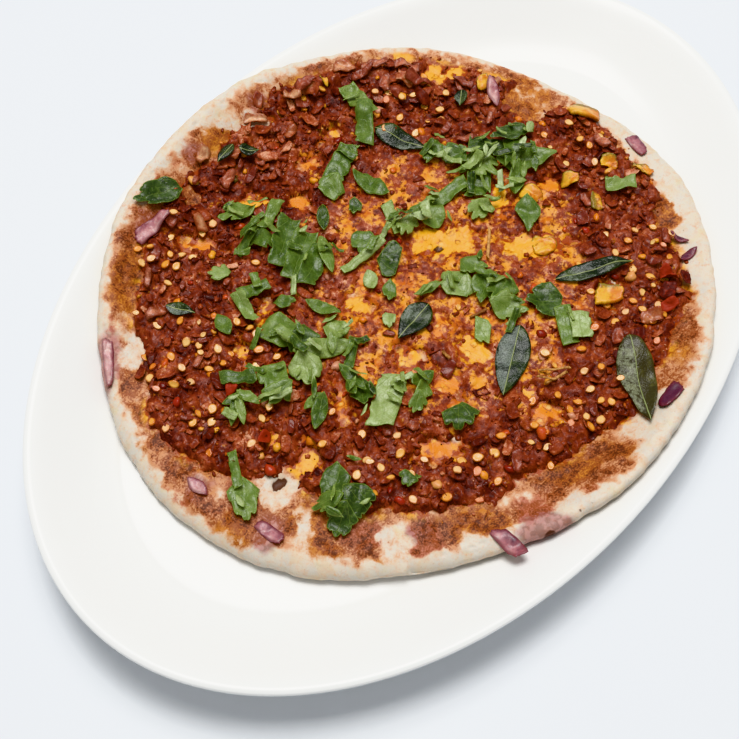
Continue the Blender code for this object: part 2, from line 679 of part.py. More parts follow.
def nest(solids):
    """Shift each piece of a heap up or down until it meets the pieces before it."""
    placed = [solids[0]]
    trees = [tree_of(solids[0])]
    for solid in solids[1:]:
        for step in range(NEST_TRIES):
            shift = NEST_STEP * ((step + 1) // 2) * (1 if step % 2 else -1)
            moved = lifted(solid, shift)
            tree = tree_of(moved)
            if any(tree.overlap(other) for other in trees):
                break
        placed.append(moved)
        trees.append(tree)
    return placed


def solid_of(piece):
    """The solid of an object, back in millimetres."""
    verts = [tuple(vert.co / MM) for vert in piece.data.vertices]
    return Solid(verts, [tuple(face.vertices) for face in piece.data.polygons])


def seed_solid(x, y, height, turn):
    """Flat chilli seed, half sunk in the masala."""
    ball = bmesh.new()
    bmesh.ops.create_icosphere(ball, subdivisions=1, radius=0.5)
    verts = []
    for vert in ball.verts:
        along, across, up = (vert.co[i] * SEED_SIZE[i] for i in range(3))
        verts.append((x + along * math.cos(turn) - across * math.sin(turn),
                      y + along * math.sin(turn) + across * math.cos(turn), height + up))
    faces = [tuple(vert.index for vert in face.verts) for face in ball.faces]
    ball.free()
    return Solid(verts, faces)


def flake_solid(x, y, height, turn):
    """Shard of chilli skin that stands out of the masala."""
    half = [size / 2 for size in FLAKE_SIZE]
    corners = ((-1, -0.7, -1), (1, -1, -1), (0.8, 1, -1), (-0.9, 0.8, -1),
               (-0.7, -0.5, 0.3), (0.8, -0.6, 1), (0.6, 0.7, 0.8), (-0.8, 0.6, 0.2))
    verts = []
    for along, across, up in corners:
        along, across = along * half[0], across * half[1]
        verts.append((x + along * math.cos(turn) - across * math.sin(turn),
                      y + along * math.sin(turn) + across * math.cos(turn), height + up * half[2]))
    faces = [(0, 3, 2), (0, 2, 1), (4, 5, 6), (4, 6, 7), (0, 1, 5), (0, 5, 4),
             (1, 2, 6), (1, 6, 5), (2, 3, 7), (2, 7, 6), (3, 0, 4), (3, 4, 7)]
    return Solid(verts, faces)


def flake_places(taken):
    """Places of the flakes, spread over the craggy part and clear of the seeds."""
    draw = random.Random(7)
    places = []
    while len(places) < FLAKE_COUNT:
        angle = draw.uniform(0, math.tau)
        x, y = outline_point(angle, bare_rim_width(angle) + draw.uniform(*FLAKE_INWARD))
        if all(math.dist((x, y), place) > FLAKE_SPACING for place in (*taken, *places)):
            places.append((x, y))
    return places


def toppings_on(masala):
    """Seeds and flakes half sunk in the masala."""
    draw = random.Random(21)
    tree = tree_of(masala)
    toppings = []
    for make, places, rise in ((seed_solid, SEED_PLACES, SEED_RISE),
                               (flake_solid, flake_places(SEED_PLACES), FLAKE_RISE)):
        for x, y in places:
            turn = draw.uniform(0, math.tau)
            hit = tree.ray_cast(Vector((x, y, SKY)), DOWN)[0]
            under = batter_top(x, y) + GAP
            if hit is not None and hit.z > under + MASALA_EDGE:
                toppings.append(make(x, y, hit.z + rise, turn))
    return toppings


def build():
    """Make every object of the uttapam and its plate."""
    for old in list(bpy.data.objects):
        bpy.data.objects.remove(old)
    porcelain = make_material("porcelain", (0.86, 0.86, 0.84), 0.12)
    batter = make_material("batter", (0.78, 0.66, 0.48), 0.6)
    masala_red = make_material("masala", (0.33, 0.05, 0.015), 0.45)
    onion = make_material("onion", (0.5, 0.16, 0.24), 0.3)
    pepper = make_material("pepper", (0.8, 0.46, 0.06), 0.3)
    curry_green = make_material("curry_leaf", (0.035, 0.055, 0.02), 0.3)
    herb_green = make_material("coriander", (0.1, 0.24, 0.05), 0.55)

    round_off(make_object("plate", lofted_plate(), porcelain), SHARP_ANGLE)
    points = top_points()
    faces = triangulate(points, OUTLINE_POINTS)
    uttapam = batter_solid(points, faces)
    round_off(make_object("uttapam", uttapam, batter), SHARP_ANGLE)
    masala = masala_solid(points, faces)
    spread = make_object("masala", masala, masala_red)
    fuse(spread, toppings_on(masala), masala_red, MASALA_FLAT)

    trees = [tree_of(uttapam), tree_of(solid_of(spread))]
    for pieces, thick, finish in ((ONION_SLICES, SLICE_THICK, onion),
                                  (PEPPER_PIECES, PEPPER_THICK, pepper),
                                  (CURRY_LEAVES, LEAF_THICK, curry_green)):
        for name, piece in pieces.items():
            (solid,) = settle([leaf_solid(piece, thick)], trees)
            make_object(name, solid, finish)
            trees.append(tree_of(solid))
    for name, pieces in CORIANDER_LEAVES.items():
        group = [leaf_solid(piece, LEAF_THICK, HEAP_STEP * (number % 3))
                 for number, piece in enumerate(pieces)]
        group = settle(nest(group), trees)
        leaf = make_object(name, group[0], herb_green)
        if len(group) > 1:
            fuse(leaf, group[1:], herb_green, LEAF_FLAT)
        trees.append(tree_of(solid_of(leaf)))


build()
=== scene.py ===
"""Uttapam on its oval white plate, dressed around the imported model.

Sizes and places are in millimetres and turns in degrees, unless a name says otherwise. The plate's
centre is the origin, X runs along the plate and the table is at Z = 0. make_piece turns millimetres
into metres.
"""

import logging
import math
from collections.abc import Callable, Iterable, Sequence
from dataclasses import dataclass
from enum import Enum

import bpy
import numpy as np
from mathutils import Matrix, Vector
from mathutils.geometry import delaunay_2d_cdt


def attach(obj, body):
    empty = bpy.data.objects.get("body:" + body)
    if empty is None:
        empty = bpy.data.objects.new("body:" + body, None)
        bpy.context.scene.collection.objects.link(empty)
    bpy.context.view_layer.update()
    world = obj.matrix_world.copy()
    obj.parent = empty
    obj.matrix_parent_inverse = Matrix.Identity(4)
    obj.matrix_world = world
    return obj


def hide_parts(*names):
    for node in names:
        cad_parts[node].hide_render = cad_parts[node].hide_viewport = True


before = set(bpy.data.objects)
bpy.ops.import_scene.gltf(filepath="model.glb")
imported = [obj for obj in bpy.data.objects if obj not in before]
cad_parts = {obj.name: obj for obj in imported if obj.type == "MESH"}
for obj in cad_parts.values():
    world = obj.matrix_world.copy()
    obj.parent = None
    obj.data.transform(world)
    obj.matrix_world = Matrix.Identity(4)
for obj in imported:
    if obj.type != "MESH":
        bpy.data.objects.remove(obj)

MM = 0.001
BODY = "root"
# Height that nothing on the food rises past.
CEILING = 29.2
Array = np.ndarray
Colour = tuple[float, float, float]
Material = bpy.types.Material
Socket = bpy.types.NodeSocket
Stops = tuple[tuple[float, Colour], ...]
Outline = list[tuple[float, float]]
Mesh = tuple[Array, list[tuple[int, ...]], Array, Array]
LOG = logging.getLogger("uttapam")


# Numbers that look random but repeat each run


def scatter(column: Array, row: Array, seed: int) -> Array:
    """Random number from 0 to 1 that belongs to each whole-numbered place.

    Args:
        column: Whole numbers along X.
        row: Whole numbers along Y.
        seed: Picks another set of numbers.

    Returns:
        One number for each place.
    """
    mixed = (column * 374761393 + row * 668265263 + seed * 1442695041) & 0xFFFFFFFF
    mixed = ((mixed ^ (mixed >> 13)) * 1274126177) & 0xFFFFFFFF
    return ((mixed ^ (mixed >> 16)) & 0xFFFFFF) / 0xFFFFFF


def waves(x: Array, y: Array, seed: int, length: float = 1.0) -> Array:
    """Smooth noise from about -1 to 1.

    Args:
        x: Places along X.
        y: Places along Y.
        seed: Picks another noise.
        length: Length of a hump or a hollow.

    Returns:
        The noise at each place.
    """
    x, y = np.broadcast_arrays(np.asarray(x, float) / length, np.asarray(y, float) / length)
    column, row = np.floor(x).astype(np.int64), np.floor(y).astype(np.int64)
    dx, dy = x - column, y - row

    def slope(right: int, up: int) -> Array:
        """Height that the slope at one corner of the cell gives to each place."""
        turn = scatter(column + right, row + up, seed) * math.tau
        return np.cos(turn) * (dx - right) + np.sin(turn) * (dy - up)

    ease_x, ease_y = ease(dx), ease(dy)
    low = slope(0, 0) + ease_x * (slope(1, 0) - slope(0, 0))
    high = slope(0, 1) + ease_x * (slope(1, 1) - slope(0, 1))
    return 1.5 * (low + ease_y * (high - low))


def ease(share: Array) -> Array:
    """Smooth step from 0 to 1 with a level start and end."""
    share = np.clip(share, 0.0, 1.0)
    return share * share * (3.0 - 2.0 * share)


def step_up(value: Array, low: float, high: float) -> Array:
    """Smooth step of a value from 0 at low to 1 at high."""
    return ease((value - low) / (high - low))


def pebbles(x: Array, y: Array, seed: int) -> tuple[Array, Array]:
    """Distance to the nearest of one loose point to a cell, and that point's random number.

    Args:
        x: Places along X, in units of a cell.
        y: Places along Y, in the same units.
        seed: Picks other points.

    Returns:
        The distances in cells and the numbers from 0 to 1.
    """
    column, row = np.floor(x).astype(np.int64), np.floor(y).astype(np.int64)
    nearest, number = np.full(x.shape, np.inf), np.zeros(x.shape)
    for right in (-1, 0, 1):
        for up in (-1, 0, 1):
            a, b = column + right, row + up
            away = np.hypot(a + scatter(a, b, seed) - x, b + scatter(a, b, seed + 1) - y)
            closer = away < nearest
            nearest = np.where(closer, away, nearest)
            number = np.where(closer, scatter(a, b, seed + 2), number)
    return nearest, number


def dome(away: Array, reach: float) -> Array:
    """Round hump of height 1 that ends at a reach from its middle."""
    return np.sqrt(np.clip(1.0 - (away / reach) ** 2, 0.0, 1.0))


# Shader sums as Python expressions


@dataclass(eq=False)
class Signal:
    """A number that varies over a surface: the socket of a recipe's node, for use in Python sums."""

    recipe: "Recipe"
    socket: Socket

    def _sum(self, operation: str, first: object, second: object = 0.0) -> "Signal":
        """Math node of one operation on two values."""
        made = self.recipe.node("ShaderNodeMath", {"operation": operation}, {0: first, 1: second})
        return Signal(self.recipe, made.outputs[0])

    def __add__(self, other: object) -> "Signal":
        """Sum."""
        return self._sum("ADD", self, other)

    __radd__ = __add__

    def __sub__(self, other: object) -> "Signal":
        """Difference."""
        return self._sum("SUBTRACT", self, other)

    def __rsub__(self, other: object) -> "Signal":
        """Difference from a plain number."""
        return self._sum("SUBTRACT", other, self)

    def __mul__(self, other: object) -> "Signal":
        """Product."""
        return self._sum("MULTIPLY", self, other)

    __rmul__ = __mul__

    def __truediv__(self, other: object) -> "Signal":
        """Quotient."""
        return self._sum("DIVIDE", self, other)

    def __pow__(self, power: float) -> "Signal":
        """Power."""
        return self._sum("POWER", self, power)

    def turn_from(self, along: "Signal") -> "Signal":
        """Turn in radians of the point whose two coordinates are given."""
        return self._sum("ARCTAN2", self, along)

    def size(self) -> "Signal":
        """The value without its sign."""
        return self._sum("ABSOLUTE", self)

    def sine(self) -> "Signal":
        """Sine of the value."""
        return self._sum("SINE", self)

    def rising(self, low: float, high: float) -> "Signal":
        """Smooth step from 0 at low to 1 at high; low may be the larger one."""
        made = self.recipe.node("ShaderNodeMapRange", {"interpolation_type": "SMOOTHSTEP"},
                                {"Value": self, "From Min": low, "From Max": high})
        return Signal(self.recipe, made.outputs["Result"])


class Recipe:
    """A material that is being made from nodes."""

    def __init__(self, name: str) -> None:
        """Start a material with nothing but its shader.

        Args:
            name: The material's name.
        """
        self.material = bpy.data.materials.new(name)
        self.material.use_nodes = True
        self.tree = self.material.node_tree
        self.shader = self.tree.nodes["Principled BSDF"]

    def feed(self, socket: Socket, value: object) -> None:
        """Give a socket a link, a colour or a number.

        Args:
            socket: The socket to feed.
            value: A Signal, another socket, a colour of three numbers or one number.
        """
        if isinstance(value, Signal):
            self.tree.links.new(value.socket, socket)
        elif isinstance(value, Socket):
            self.tree.links.new(value, socket)
        elif isinstance(value, tuple) and socket.type == "RGBA":
            socket.default_value = (*value, 1.0)
        else:
            socket.default_value = value

    def node(self, kind: str, settings: dict | None = None, sockets: dict | None = None) -> bpy.types.Node:
        """Make a node.

        Args:
            kind: Blender's name for the node's type.
            settings: Its settings, set first; "stops" are a ramp's places and colours.
            sockets: Values or links of its sockets, by name or number.

        Returns:
            The node.
        """
        made = self.tree.nodes.new(kind)
        for name, value in (settings or {}).items():
            if name == "stops":
                self._set_stops(made.color_ramp, value)
            else:
                setattr(made, name, value)
        for name, value in (sockets or {}).items():
            self.feed(made.inputs[name], value)
        return made

    @staticmethod
    def _set_stops(ramp: bpy.types.ColorRamp, stops: Stops) -> None:
        """Give a ramp its places and colours.

        Args:
            ramp: The ramp.
            stops: Its places and colours.
        """
        while len(ramp.elements) < len(stops):
            ramp.elements.new(1.0)
        for element, (place, colour) in zip(ramp.elements, stops):
            element.position = place
            element.color = (*colour, 1.0)

    def place(self) -> Socket:
        """Place on the piece in millimetres.

        Returns:
            The place's socket.
        """
        coordinates = self.node("ShaderNodeTexCoord")
        scaled = self.node("ShaderNodeVectorMath", {"operation": "SCALE"},
                           {0: coordinates.outputs["Object"], "Scale": 1.0 / MM})
        return scaled.outputs[0]

    def grain(self, length: float, detail: float = 2.0, twist: float = 0.0) -> Signal:
        """Noise from 0 to 1 with humps of a length in millimetres."""
        made = self.node("ShaderNodeTexNoise", {}, {"Vector": self.place(), "Scale": 1.0 / length,
                                                    "Detail": detail, "Distortion": twist})
        return Signal(self, made.outputs[0])

    def spots(self, length: float) -> Signal:
        """Distance to the nearest loose point, in units of a length in millimetres."""
        made = self.node("ShaderNodeTexVoronoi", {}, {"Vector": self.place(), "Scale": 1.0 / length})
        return Signal(self, made.outputs["Distance"])

    def mark(self, name: str) -> Signal:
        """Number that the mesh carries at each point."""
        made = self.node("ShaderNodeAttribute", {"attribute_name": name})
        return Signal(self, made.outputs["Fac"])

    def marks(self, name: str) -> tuple[Signal, Signal, Signal]:
        """Three numbers that the mesh carries at each point.

        Args:
            name: The mark's name.

        Returns:
            Its three numbers.
        """
        made = self.node("ShaderNodeAttribute", {"attribute_name": name})
        split = self.node("ShaderNodeSeparateXYZ", {}, {0: made.outputs["Vector"]})
        return tuple(Signal(self, output) for output in split.outputs)

    def blend(self, share: object, first: object, second: object) -> Socket:
        """Colour that goes from the first to the second as a share goes from 0 to 1."""
        made = self.node("ShaderNodeMix", {"data_type": "RGBA"}, {0: share, 6: first, 7: second})
        return made.outputs[2]

    def darken(self, share: object, colour: object, tint: object) -> Socket:
        """Colour multiplied by a tint, as far as a share says."""
        made = self.node("ShaderNodeMix", {"data_type": "RGBA", "blend_type": "MULTIPLY"},
                         {0: share, 6: colour, 7: tint})
        return made.outputs[2]

    def ramp(self, value: object, stops: Stops) -> Socket:
        """Colour read from a row of stops."""
        return self.node("ShaderNodeValToRGB", {"stops": stops}, {0: value}).outputs[0]

    def bump(self, height: Signal, depth: float) -> Socket:
        """Normal of a surface whose height varies by a depth in millimetres."""
        made = self.node("ShaderNodeBump", {}, {"Height": height, "Distance": depth * MM, "Strength": 1.0})
        return made.outputs["Normal"]

    def done(self, **sockets: object) -> Material:
        """Feed the shader's sockets, named with underscores for spaces, and return the material.

        Args:
            **sockets: The sockets' names and values.

        Returns:
            The material.
        """
        for name, value in sockets.items():
            self.feed(self.shader.inputs[name.replace("_", " ")], value)
        return self.material


def glow(share: float, *depths: float) -> dict[str, object]:
    """Shader sockets of light that sinks in: its share, and the depth of red, green and blue in mm."""
    return {"Subsurface_Weight": share, "Subsurface_Radius": tuple(depth * MM for depth in depths),
            "Subsurface_Scale": 1.0}


def srgb(red: float, green: float, blue: float) -> Colour:
    """Colour of a screen's 0 to 255 values, as the light that it stands for."""
    shares = (value / 255.0 for value in (red, green, blue))
    return tuple(s / 12.92 if s <= 0.04045 else ((s + 0.055) / 1.055) ** 2.4 for s in shares)


# Meshes


def make_piece(name: str, verts: Array, faces: Iterable[Sequence[int]], finish: Material,
               nodes: Sequence[str] = (), marks: dict[str, Array] | None = None) -> None:
    """Make a piece of the model and put it on its body.

    Args:
        name: The piece's name.
        verts: Points in millimetres, one row each.
        faces: Each face's point numbers.
        finish: Its material.
        nodes: The model's nodes that it stands for.
        marks: Numbers for the finish, one row to a point.
    """
    mesh = bpy.data.meshes.new(name)
    mesh.from_pydata((np.asarray(verts, float) * MM).tolist(), [], [tuple(face) for face in faces])
    for mark, values in (marks or {}).items():
        values = np.asarray(values, np.float32)
        kind, key = ("FLOAT", "value") if values.ndim == 1 else ("FLOAT_VECTOR", "vector")
        mesh.attributes.new(mark, kind, "POINT").data.foreach_set(key, values.ravel())
    mesh.polygons.foreach_set("use_smooth", [True] * len(mesh.polygons))
    mesh.materials.append(finish)
    mesh.validate()
    piece = bpy.data.objects.new(name, mesh)
    bpy.context.scene.collection.objects.link(piece)
    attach(piece, BODY)
    if nodes:
        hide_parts(*nodes)
    LOG.info("%s: %d points, %d faces", name, len(mesh.vertices), len(mesh.polygons))


def ring_faces(rings: int, sides: int) -> list[tuple[int, int, int, int]]:
    """Four-sided faces between rings of points, each ring after the one before.

    Args:
        rings: How many rings.
        sides: Points in each.

    Returns:
        The faces' point numbers.
    """
    faces = []
    for ring in range(rings - 1):
        first, second = ring * sides, (ring + 1) * sides
        for side in range(sides):
            after = (side + 1) % sides
            faces.append((first + side, second + side, second + after, first + after))
    return faces


def closed_rings(rings: list[Array], centres: list[tuple[float, float, float]]) -> tuple[Array, list]:
    """Solid made of rings of points, closed with a fan at both ends.

    Args:
        rings: The rings, each with as many points.
        centres: The points in the middle of the last ring and of the first.

    Returns:
        Its points and its faces.
    """
    sides = len(rings[0])
    faces = ring_faces(len(rings), sides)
    last, end = (len(rings) - 1) * sides, len(rings) * sides
    for side in range(sides):
        after = (side + 1) % sides
        faces += [(last + side, end, last + after), (end + 1, side, after)]
    return np.vstack((*rings, centres)), faces


def smooth_line(points: Sequence[tuple[float, float]], steps: int) -> Array:
    """Points along a smooth line through the given points.

    Args:
        points: The points that the line goes through.
        steps: Pieces between one of them and the next.

    Returns:
        One row to a point.
    """
    knots = np.array([points[0], *points, points[-1]], float)
    line = []
    for before, start, end, after in zip(knots, knots[1:], knots[2:], knots[3:]):
        for t in np.arange(steps) / steps:
            square = 2 * before - 5 * start + 4 * end - after
            cube = 3 * start - before - 3 * end + after
            line.append(0.5 * (2 * start + (end - before) * t + square * t ** 2 + cube * t ** 3))
    line.append(knots[-1])
    return np.array(line)


@dataclass
class Raster:
    """Heights on a fine grid over the plate, one row for each step along Y, read between its points."""

    REACH_X = 156.0
    REACH_Y = 108.0
    values: Array
    pitch: float

    @classmethod
    def places(cls, pitch: float) -> tuple[Array, Array]:
        """X and Y of every point of a grid.

        Args:
            pitch: Step between points.

        Returns:
            The two grids.
        """
        xs = np.arange(-cls.REACH_X, cls.REACH_X + pitch, pitch)
        ys = np.arange(-cls.REACH_Y, cls.REACH_Y + pitch, pitch)
        return np.meshgrid(xs, ys)

    @classmethod
    def of(cls, rule: Callable[[Array, Array], Array], pitch: float) -> "Raster":
        """Raster of a rule that gives the height at each place."""
        return cls(rule(*cls.places(pitch)), pitch)

    def _cells(self, x: Array, y: Array) -> tuple[Array, Array]:
        """Column and row of each place, with their fractions.

        Args:
            x: Places along X.
            y: Places along Y.

        Returns:
            The columns and the rows.
        """
        rows, columns = self.values.shape
        column = np.clip((np.asarray(x, float) + self.REACH_X) / self.pitch, 0, columns - 1.001)
        row = np.clip((np.asarray(y, float) + self.REACH_Y) / self.pitch, 0, rows - 1.001)
        return column, row

    def at(self, x: Array, y: Array) -> Array:
        """Height at each place.

        Args:
            x: Places along X.
            y: Places along Y.

        Returns:
            The heights.
        """
        column, row = self._cells(x, y)
        left, low = column.astype(int), row.astype(int)
        dx, dy = column - left, row - low
        grid = self.values
        lower = grid[low, left] * (1 - dx) + grid[low, left + 1] * dx
        upper = grid[low + 1, left] * (1 - dx) + grid[low + 1, left + 1] * dx
        return lower * (1 - dy) + upper * dy

    def _window(self, reach: float, join: Callable[..., Array]) -> Array:
        """The heights joined over a square window, first along X and then along Y.

        Args:
            reach: Half the window's side.
            join: Makes one grid of many.

        Returns:
            The joined heights.
        """
        values = self.values
        count = max(1, round(reach / self.pitch))
        for axis in (0, 1):
            shifted = [np.roll(values, step, axis) for step in range(-count, count + 1)]
            values = join(shifted)
        return values

    def blurred(self, reach: float) -> "Raster":
        """Heights averaged over a square of twice a reach."""
        return Raster(self._window(reach, lambda rows: sum(rows) / len(rows)), self.pitch)

    def widened(self, reach: float) -> "Raster":
        """The highest heights within a reach."""
        return Raster(self._window(reach, lambda rows: np.maximum.reduce(rows)), self.pitch)

    def raise_to(self, x: Array, y: Array, height: Array) -> None:
        """Lift the grid points nearest to some places to at least a height there."""
        column, row = self._cells(x, y)
        np.maximum.at(self.values, (np.rint(row).astype(int), np.rint(column).astype(int)), height)


# Shapes of the plate and the food


@dataclass(frozen=True)
class PlateShape:
    """The oval plate: its size and the line that runs round it from middle to middle."""

    half_length: float = 150.0
    half_width: float = 103.0
    lip: tuple[float, float] = (0.0, 20.4)
    # Each step is the inset from the plate's edge and the height above the table.
    top: tuple[tuple[float, float], ...] = (
        (1.4, 22.0), (4.5, 20.8), (10.0, 17.0), (16.0, 12.9), (21.0, 9.9), (26.0, 7.9), (32.0, 7.0),
        (60.0, 6.6))
    under: tuple[tuple[float, float], ...] = (
        (60.0, 2.6), (39.0, 2.3), (37.0, 0.0), (33.0, 0.0), (31.0, 1.4), (22.0, 4.9), (12.0, 10.6),
        (4.0, 16.6))

    def inset(self, x: Array, y: Array) -> Array:
        """Inset from the edge of the ring that passes through each place, found by halving.

        Args:
            x: Places along X.
            y: Places along Y.

        Returns:
            The insets.
        """
        low, high = np.zeros(np.shape(x)), np.full(np.shape(x), self.half_width - 0.01)
        for _ in range(20):
            middle = (low + high) / 2
            inside = np.hypot(x / (self.half_length - middle), y / (self.half_width - middle)) < 1
            low, high = np.where(inside, middle, low), np.where(inside, high, middle)
        return (low + high) / 2

    def height(self, x: Array, y: Array) -> Array:
        """Height of the upper face at each place."""
        insets, heights = zip(self.lip, *self.top)
        return np.interp(self.inset(x, y), insets, heights)


@dataclass(frozen=True)
class Blot:
    """Oval patch, whose length lies along the turn from which the food is looked at."""

    x: float
    y: float
    along: float
    across: float
    turn: float = -55.0

    def outside(self, x: Array, y: Array) -> Array:
        """How far each place lies outside the patch, in millimetres; inside it is below 0.

        Args:
            x: Places along X.
            y: Places along Y.

        Returns:
            The distances.
        """
        turn = math.radians(self.turn)
        dx, dy = x - self.x, y - self.y
        along = dx * math.cos(turn) + dy * math.sin(turn)
        across = dy * math.cos(turn) - dx * math.sin(turn)
        return (np.hypot(along / self.along, across / self.across) - 1) * min(self.along, self.across)


def blots(*rows: tuple[float, ...]) -> tuple[Blot, ...]:
    """Patches from rows of their numbers."""
    return tuple(Blot(*row) for row in rows)


def patchy(patches: Sequence[Blot], x: Array, y: Array, soft: float) -> Array:
    """Share from 0 to 1 of how far inside any of some patches each place lies.

    Args:
        patches: The patches.
        x: Places along X.
        y: Places along Y.
        soft: Half the width of their soft edge.

    Returns:
        The share at each place.
    """
    share = np.zeros(np.shape(x))
    for blot in patches:
        share = np.maximum(share, 1 - step_up(blot.outside(x, y), -soft, soft))
    return share


def round_the_clock(values: Sequence[float], turn: Array) -> Array:
    """Values given at equal steps all round, read smoothly at turns in radians.

    Args:
        values: The values.
        turn: The turns.

    Returns:
        The value at each turn.
    """
    count = len(values)
    hour = (turn / math.tau % 1) * count
    return np.interp(hour, range(count + 1), [*values, values[0]])


@dataclass(frozen=True)
class FoodShape:
    """The batter's outline and the heights of its underside."""

    plate: PlateShape = PlateShape()
    centre: tuple[float, float] = (1.6, 2.7)
    radius: float = 102.9
    # Waves of the outline: size, number all round and start in radians.
    outline_waves: tuple[tuple[float, int, float], ...] = (
        (4.6, 2, 0.23), (1.0, 3, -2.31), (0.55, 4, 0.59), (1.05, 5, 3.02), (0.55, 6, -2.48),
        (0.35, 7, 3.09), (0.4, 8, 3.07))
    thick: float = 6.7
    edge: float = 1.9
    rounding: float = 7.0
    plate_gap: float = 0.8
    span: float = 4.0
    # Turn and depth of the crease in the rim, where one side stands a little farther out.
    crease: tuple[float, float] = (math.radians(-146.0), 1.6)

    def reach(self, turn: Array) -> Array:
        """Distance from the middle to the outline at turns in radians.

        Args:
            turn: The turns.

        Returns:
            The distances.
        """
        smooth = self.radius + sum(size * np.cos(count * turn + start)
                                   for size, count, start in self.outline_waves)
        past = self.crease[0] - turn
        step = self.crease[1] * np.exp(-np.abs(past) / 0.07) * np.clip(past / 0.012, -0.55, 0.6)
        x, y = np.cos(turn), np.sin(turn)
        return smooth + step + 0.5 * waves(11 * x, 11 * y, 30) + 0.3 * waves(31 * x, 31 * y, 31)

    def polar(self, x: Array, y: Array) -> tuple[Array, Array]:
        """Turn in radians and distance of each place from the food's middle."""
        return (np.arctan2(y - self.centre[1], x - self.centre[0]),
                np.hypot(x - self.centre[0], y - self.centre[1]))

    def inward(self, x: Array, y: Array) -> Array:
        """How far inside the outline each place lies."""
        turn, away = self.polar(x, y)
        return self.reach(turn) - away

    def on_outline(self, turn: Array, inward: float) -> tuple[Array, Array]:
        """Places that lie a distance inside the outline."""
        away = self.reach(turn) - inward
        return self.centre[0] + away * np.cos(turn), self.centre[1] + away * np.sin(turn)

    def bed(self, x: Array, y: Array) -> Array:
        """Height of the batter's underside, which bridges the plate's bends.

        Args:
            x: Places along X.
            y: Places along Y.

        Returns:
            The heights.
        """
        steps = (-self.span, 0.0, self.span)
        around = sum(self.plate.height(x + dx, y + dy) for dx in steps for dy in steps) / 9
        return np.maximum(self.plate.height(x, y), around) + self.plate_gap


# Where things lie on the food: bare rim, bare patches, toasted, pink and pale areas

# Width of the rim that the masala leaves bare, every 7.5 degrees from the plate's +X end.
BARE_RIM = (10.8, 10, 10, 9.5, 8.5, 7.5, 7.2, 8.5, 8.5, 10, 14.6, 13, 16, 13.5, 11.8, 12.4, 10.9, 12.5,
            11.7, 15.4, 13.6, 11, 12.6, 16, 22, 27, 24, 20, 19, 17.2, 16.4, 17, 20.2, 20, 21, 16.8, 13.5,
            15.5, 13.7, 11.8, 8.5, 10.8, 12.2, 12.8, 11.7, 12.5, 10, 7.8)
# Width of the pale band at the outline, outside the toasted band, at the same steps.
PALE_RIM = (4.5, 3, 3, 4, 4.5, 3.5, 3, 3.5, 4.5, 5, 5.5, 6.5, 6.5, 7, 6, 5, 2.5, 3, 4.5, 6, 5, 6, 5.1, 3.6,
            3, 4.2, 7, 5.5, 5, 4.5, 7, 6, 6, 7, 4.5, 6.5, 11, 5, 3, 5, 8.5, 10, 11, 9, 12, 11, 9, 6.5)

YELLOW_PATCHES = blots(
    (-3, 64, 5.2, 4.8), (37, 61, 3.2, 4.2), (-36, 35, 2.8, 3.9), (-17, 11, 4.6, 4.6), (22, 2, 12, 7),
    (48, -4, 3.6, 6), (38, -24, 12, 5.6), (-8, -30, 5, 7), (-23, -14, 4.2, 4.1), (-52, 31, 2.6, 5),
    (-70, -9, 3.3, 6), (35, -55, 3, 4.6), (-11, -53, 3, 2.8), (82, 60, 4, 2.3), (84, 46, 3.9, 4.9),
    (89, 40, 3.9, 3.7),
)
ORANGE_PATCHES = blots(
    (-28, 69.5, 6.2, 3), (-24, -29, 4.6, 4), (-48, -5, 3.2, 7), (-45, -40, 7.8, 4.2), (-14, -61, 5.2, 3.9),
    (63, -15, 3.8, 4.4), (-73, 5, 2.2, 3.2), (-8, -16, 3.3, 4.6), (-6, 15, 3.3, 6.5), (23, 60, 3, 4.6),
    (6, 52, 3.8, 3.8),
)
TAN_PATCHES = blots(
    (94, 11, 9, 10.5), (-15, 83, 2.5, 2.2), (75.9, -54.8, 4, 6.5), (-83, -6.5, 6.4, 6.2),
    (-75, -44, 3.2, 5.6), (-74, 59, 3.2, 6.6), (24, 84, 4.8, 3),
)
DEEP_TOAST = blots(
    (-49, 81, 4.3, 10.9), (86, 16, 4, 7), (-96, -4, 9, 5), (-56, 75, 4, 5), (-85, -38, 13, 5),
    (-64, -60, 12, 5), (-23, -85, 7.5, 8), (34, -82, 8, 6), (76, -54, 8, 7), (-93, 26, 9, 9),
    (-64, -66, 16, 8), (-30, -82, 14, 8), (-82, 58, 10, 7),
)
PALE_PATCHES = blots(
    (-84, -6.5, 7.5, 6.2), (-89, -21, 2.4, 5.2), (-77, -46, 5, 6.5), (91, -32, 3.6, 5.7),
    (-41, -86, 4.6, 9), (-73, 60, 5, 7.6), (-5, -88, 6.5, 5.5), (7, -89, 4.5, 4), (23, 86, 5.6, 3.4),
    (12, 96, 14, 4),
)
# Where the browned batter is amber, and where it is rosy.
AMBER_CRUST = blots(
    (-54, 77, 6, 11), (10, 89, 5, 6.5), (-91, -29, 7.5, 3.6), (-27, -76, 7.5, 6.5), (-101, -4, 5.5, 5),
    (-86, -22, 8, 7), (-60, -64, 9, 5), (92, 12, 10, 11), (77, -54, 6, 7),
)
ROSY_CRUST = blots(
    (-82, -36, 7, 6), (-79, 64, 3.5, 11), (-72, -52, 6, 5), (-50, -78, 7, 6),
)
# Where the masala lies thin, so that the oiled batter glows through it.
THIN_MIDDLE = Blot(9, -6, 50, 56)
PINK_PATCHES = blots(
    (-96, -13, 5, 6), (-80, 64, 4.2, 11), (-52, -80, 6, 7.5), (-47, -82, 5, 3.5), (-33, 84, 4.6, 5.9),
    (-70, -50, 4, 3.9), (-97, 13, 3.8, 5.2), (84, 25, 5.5, 6.5), (-2, 91, 3.6, 4), (30, 87, 3.4, 3.2),
)
HOLLOWS = blots((-81.8, -6, 2.6, 1.7, -20), (-50, -83.4, 2.6, 0.9, -57), (18.4, 1.7, 1.7, 1.2))
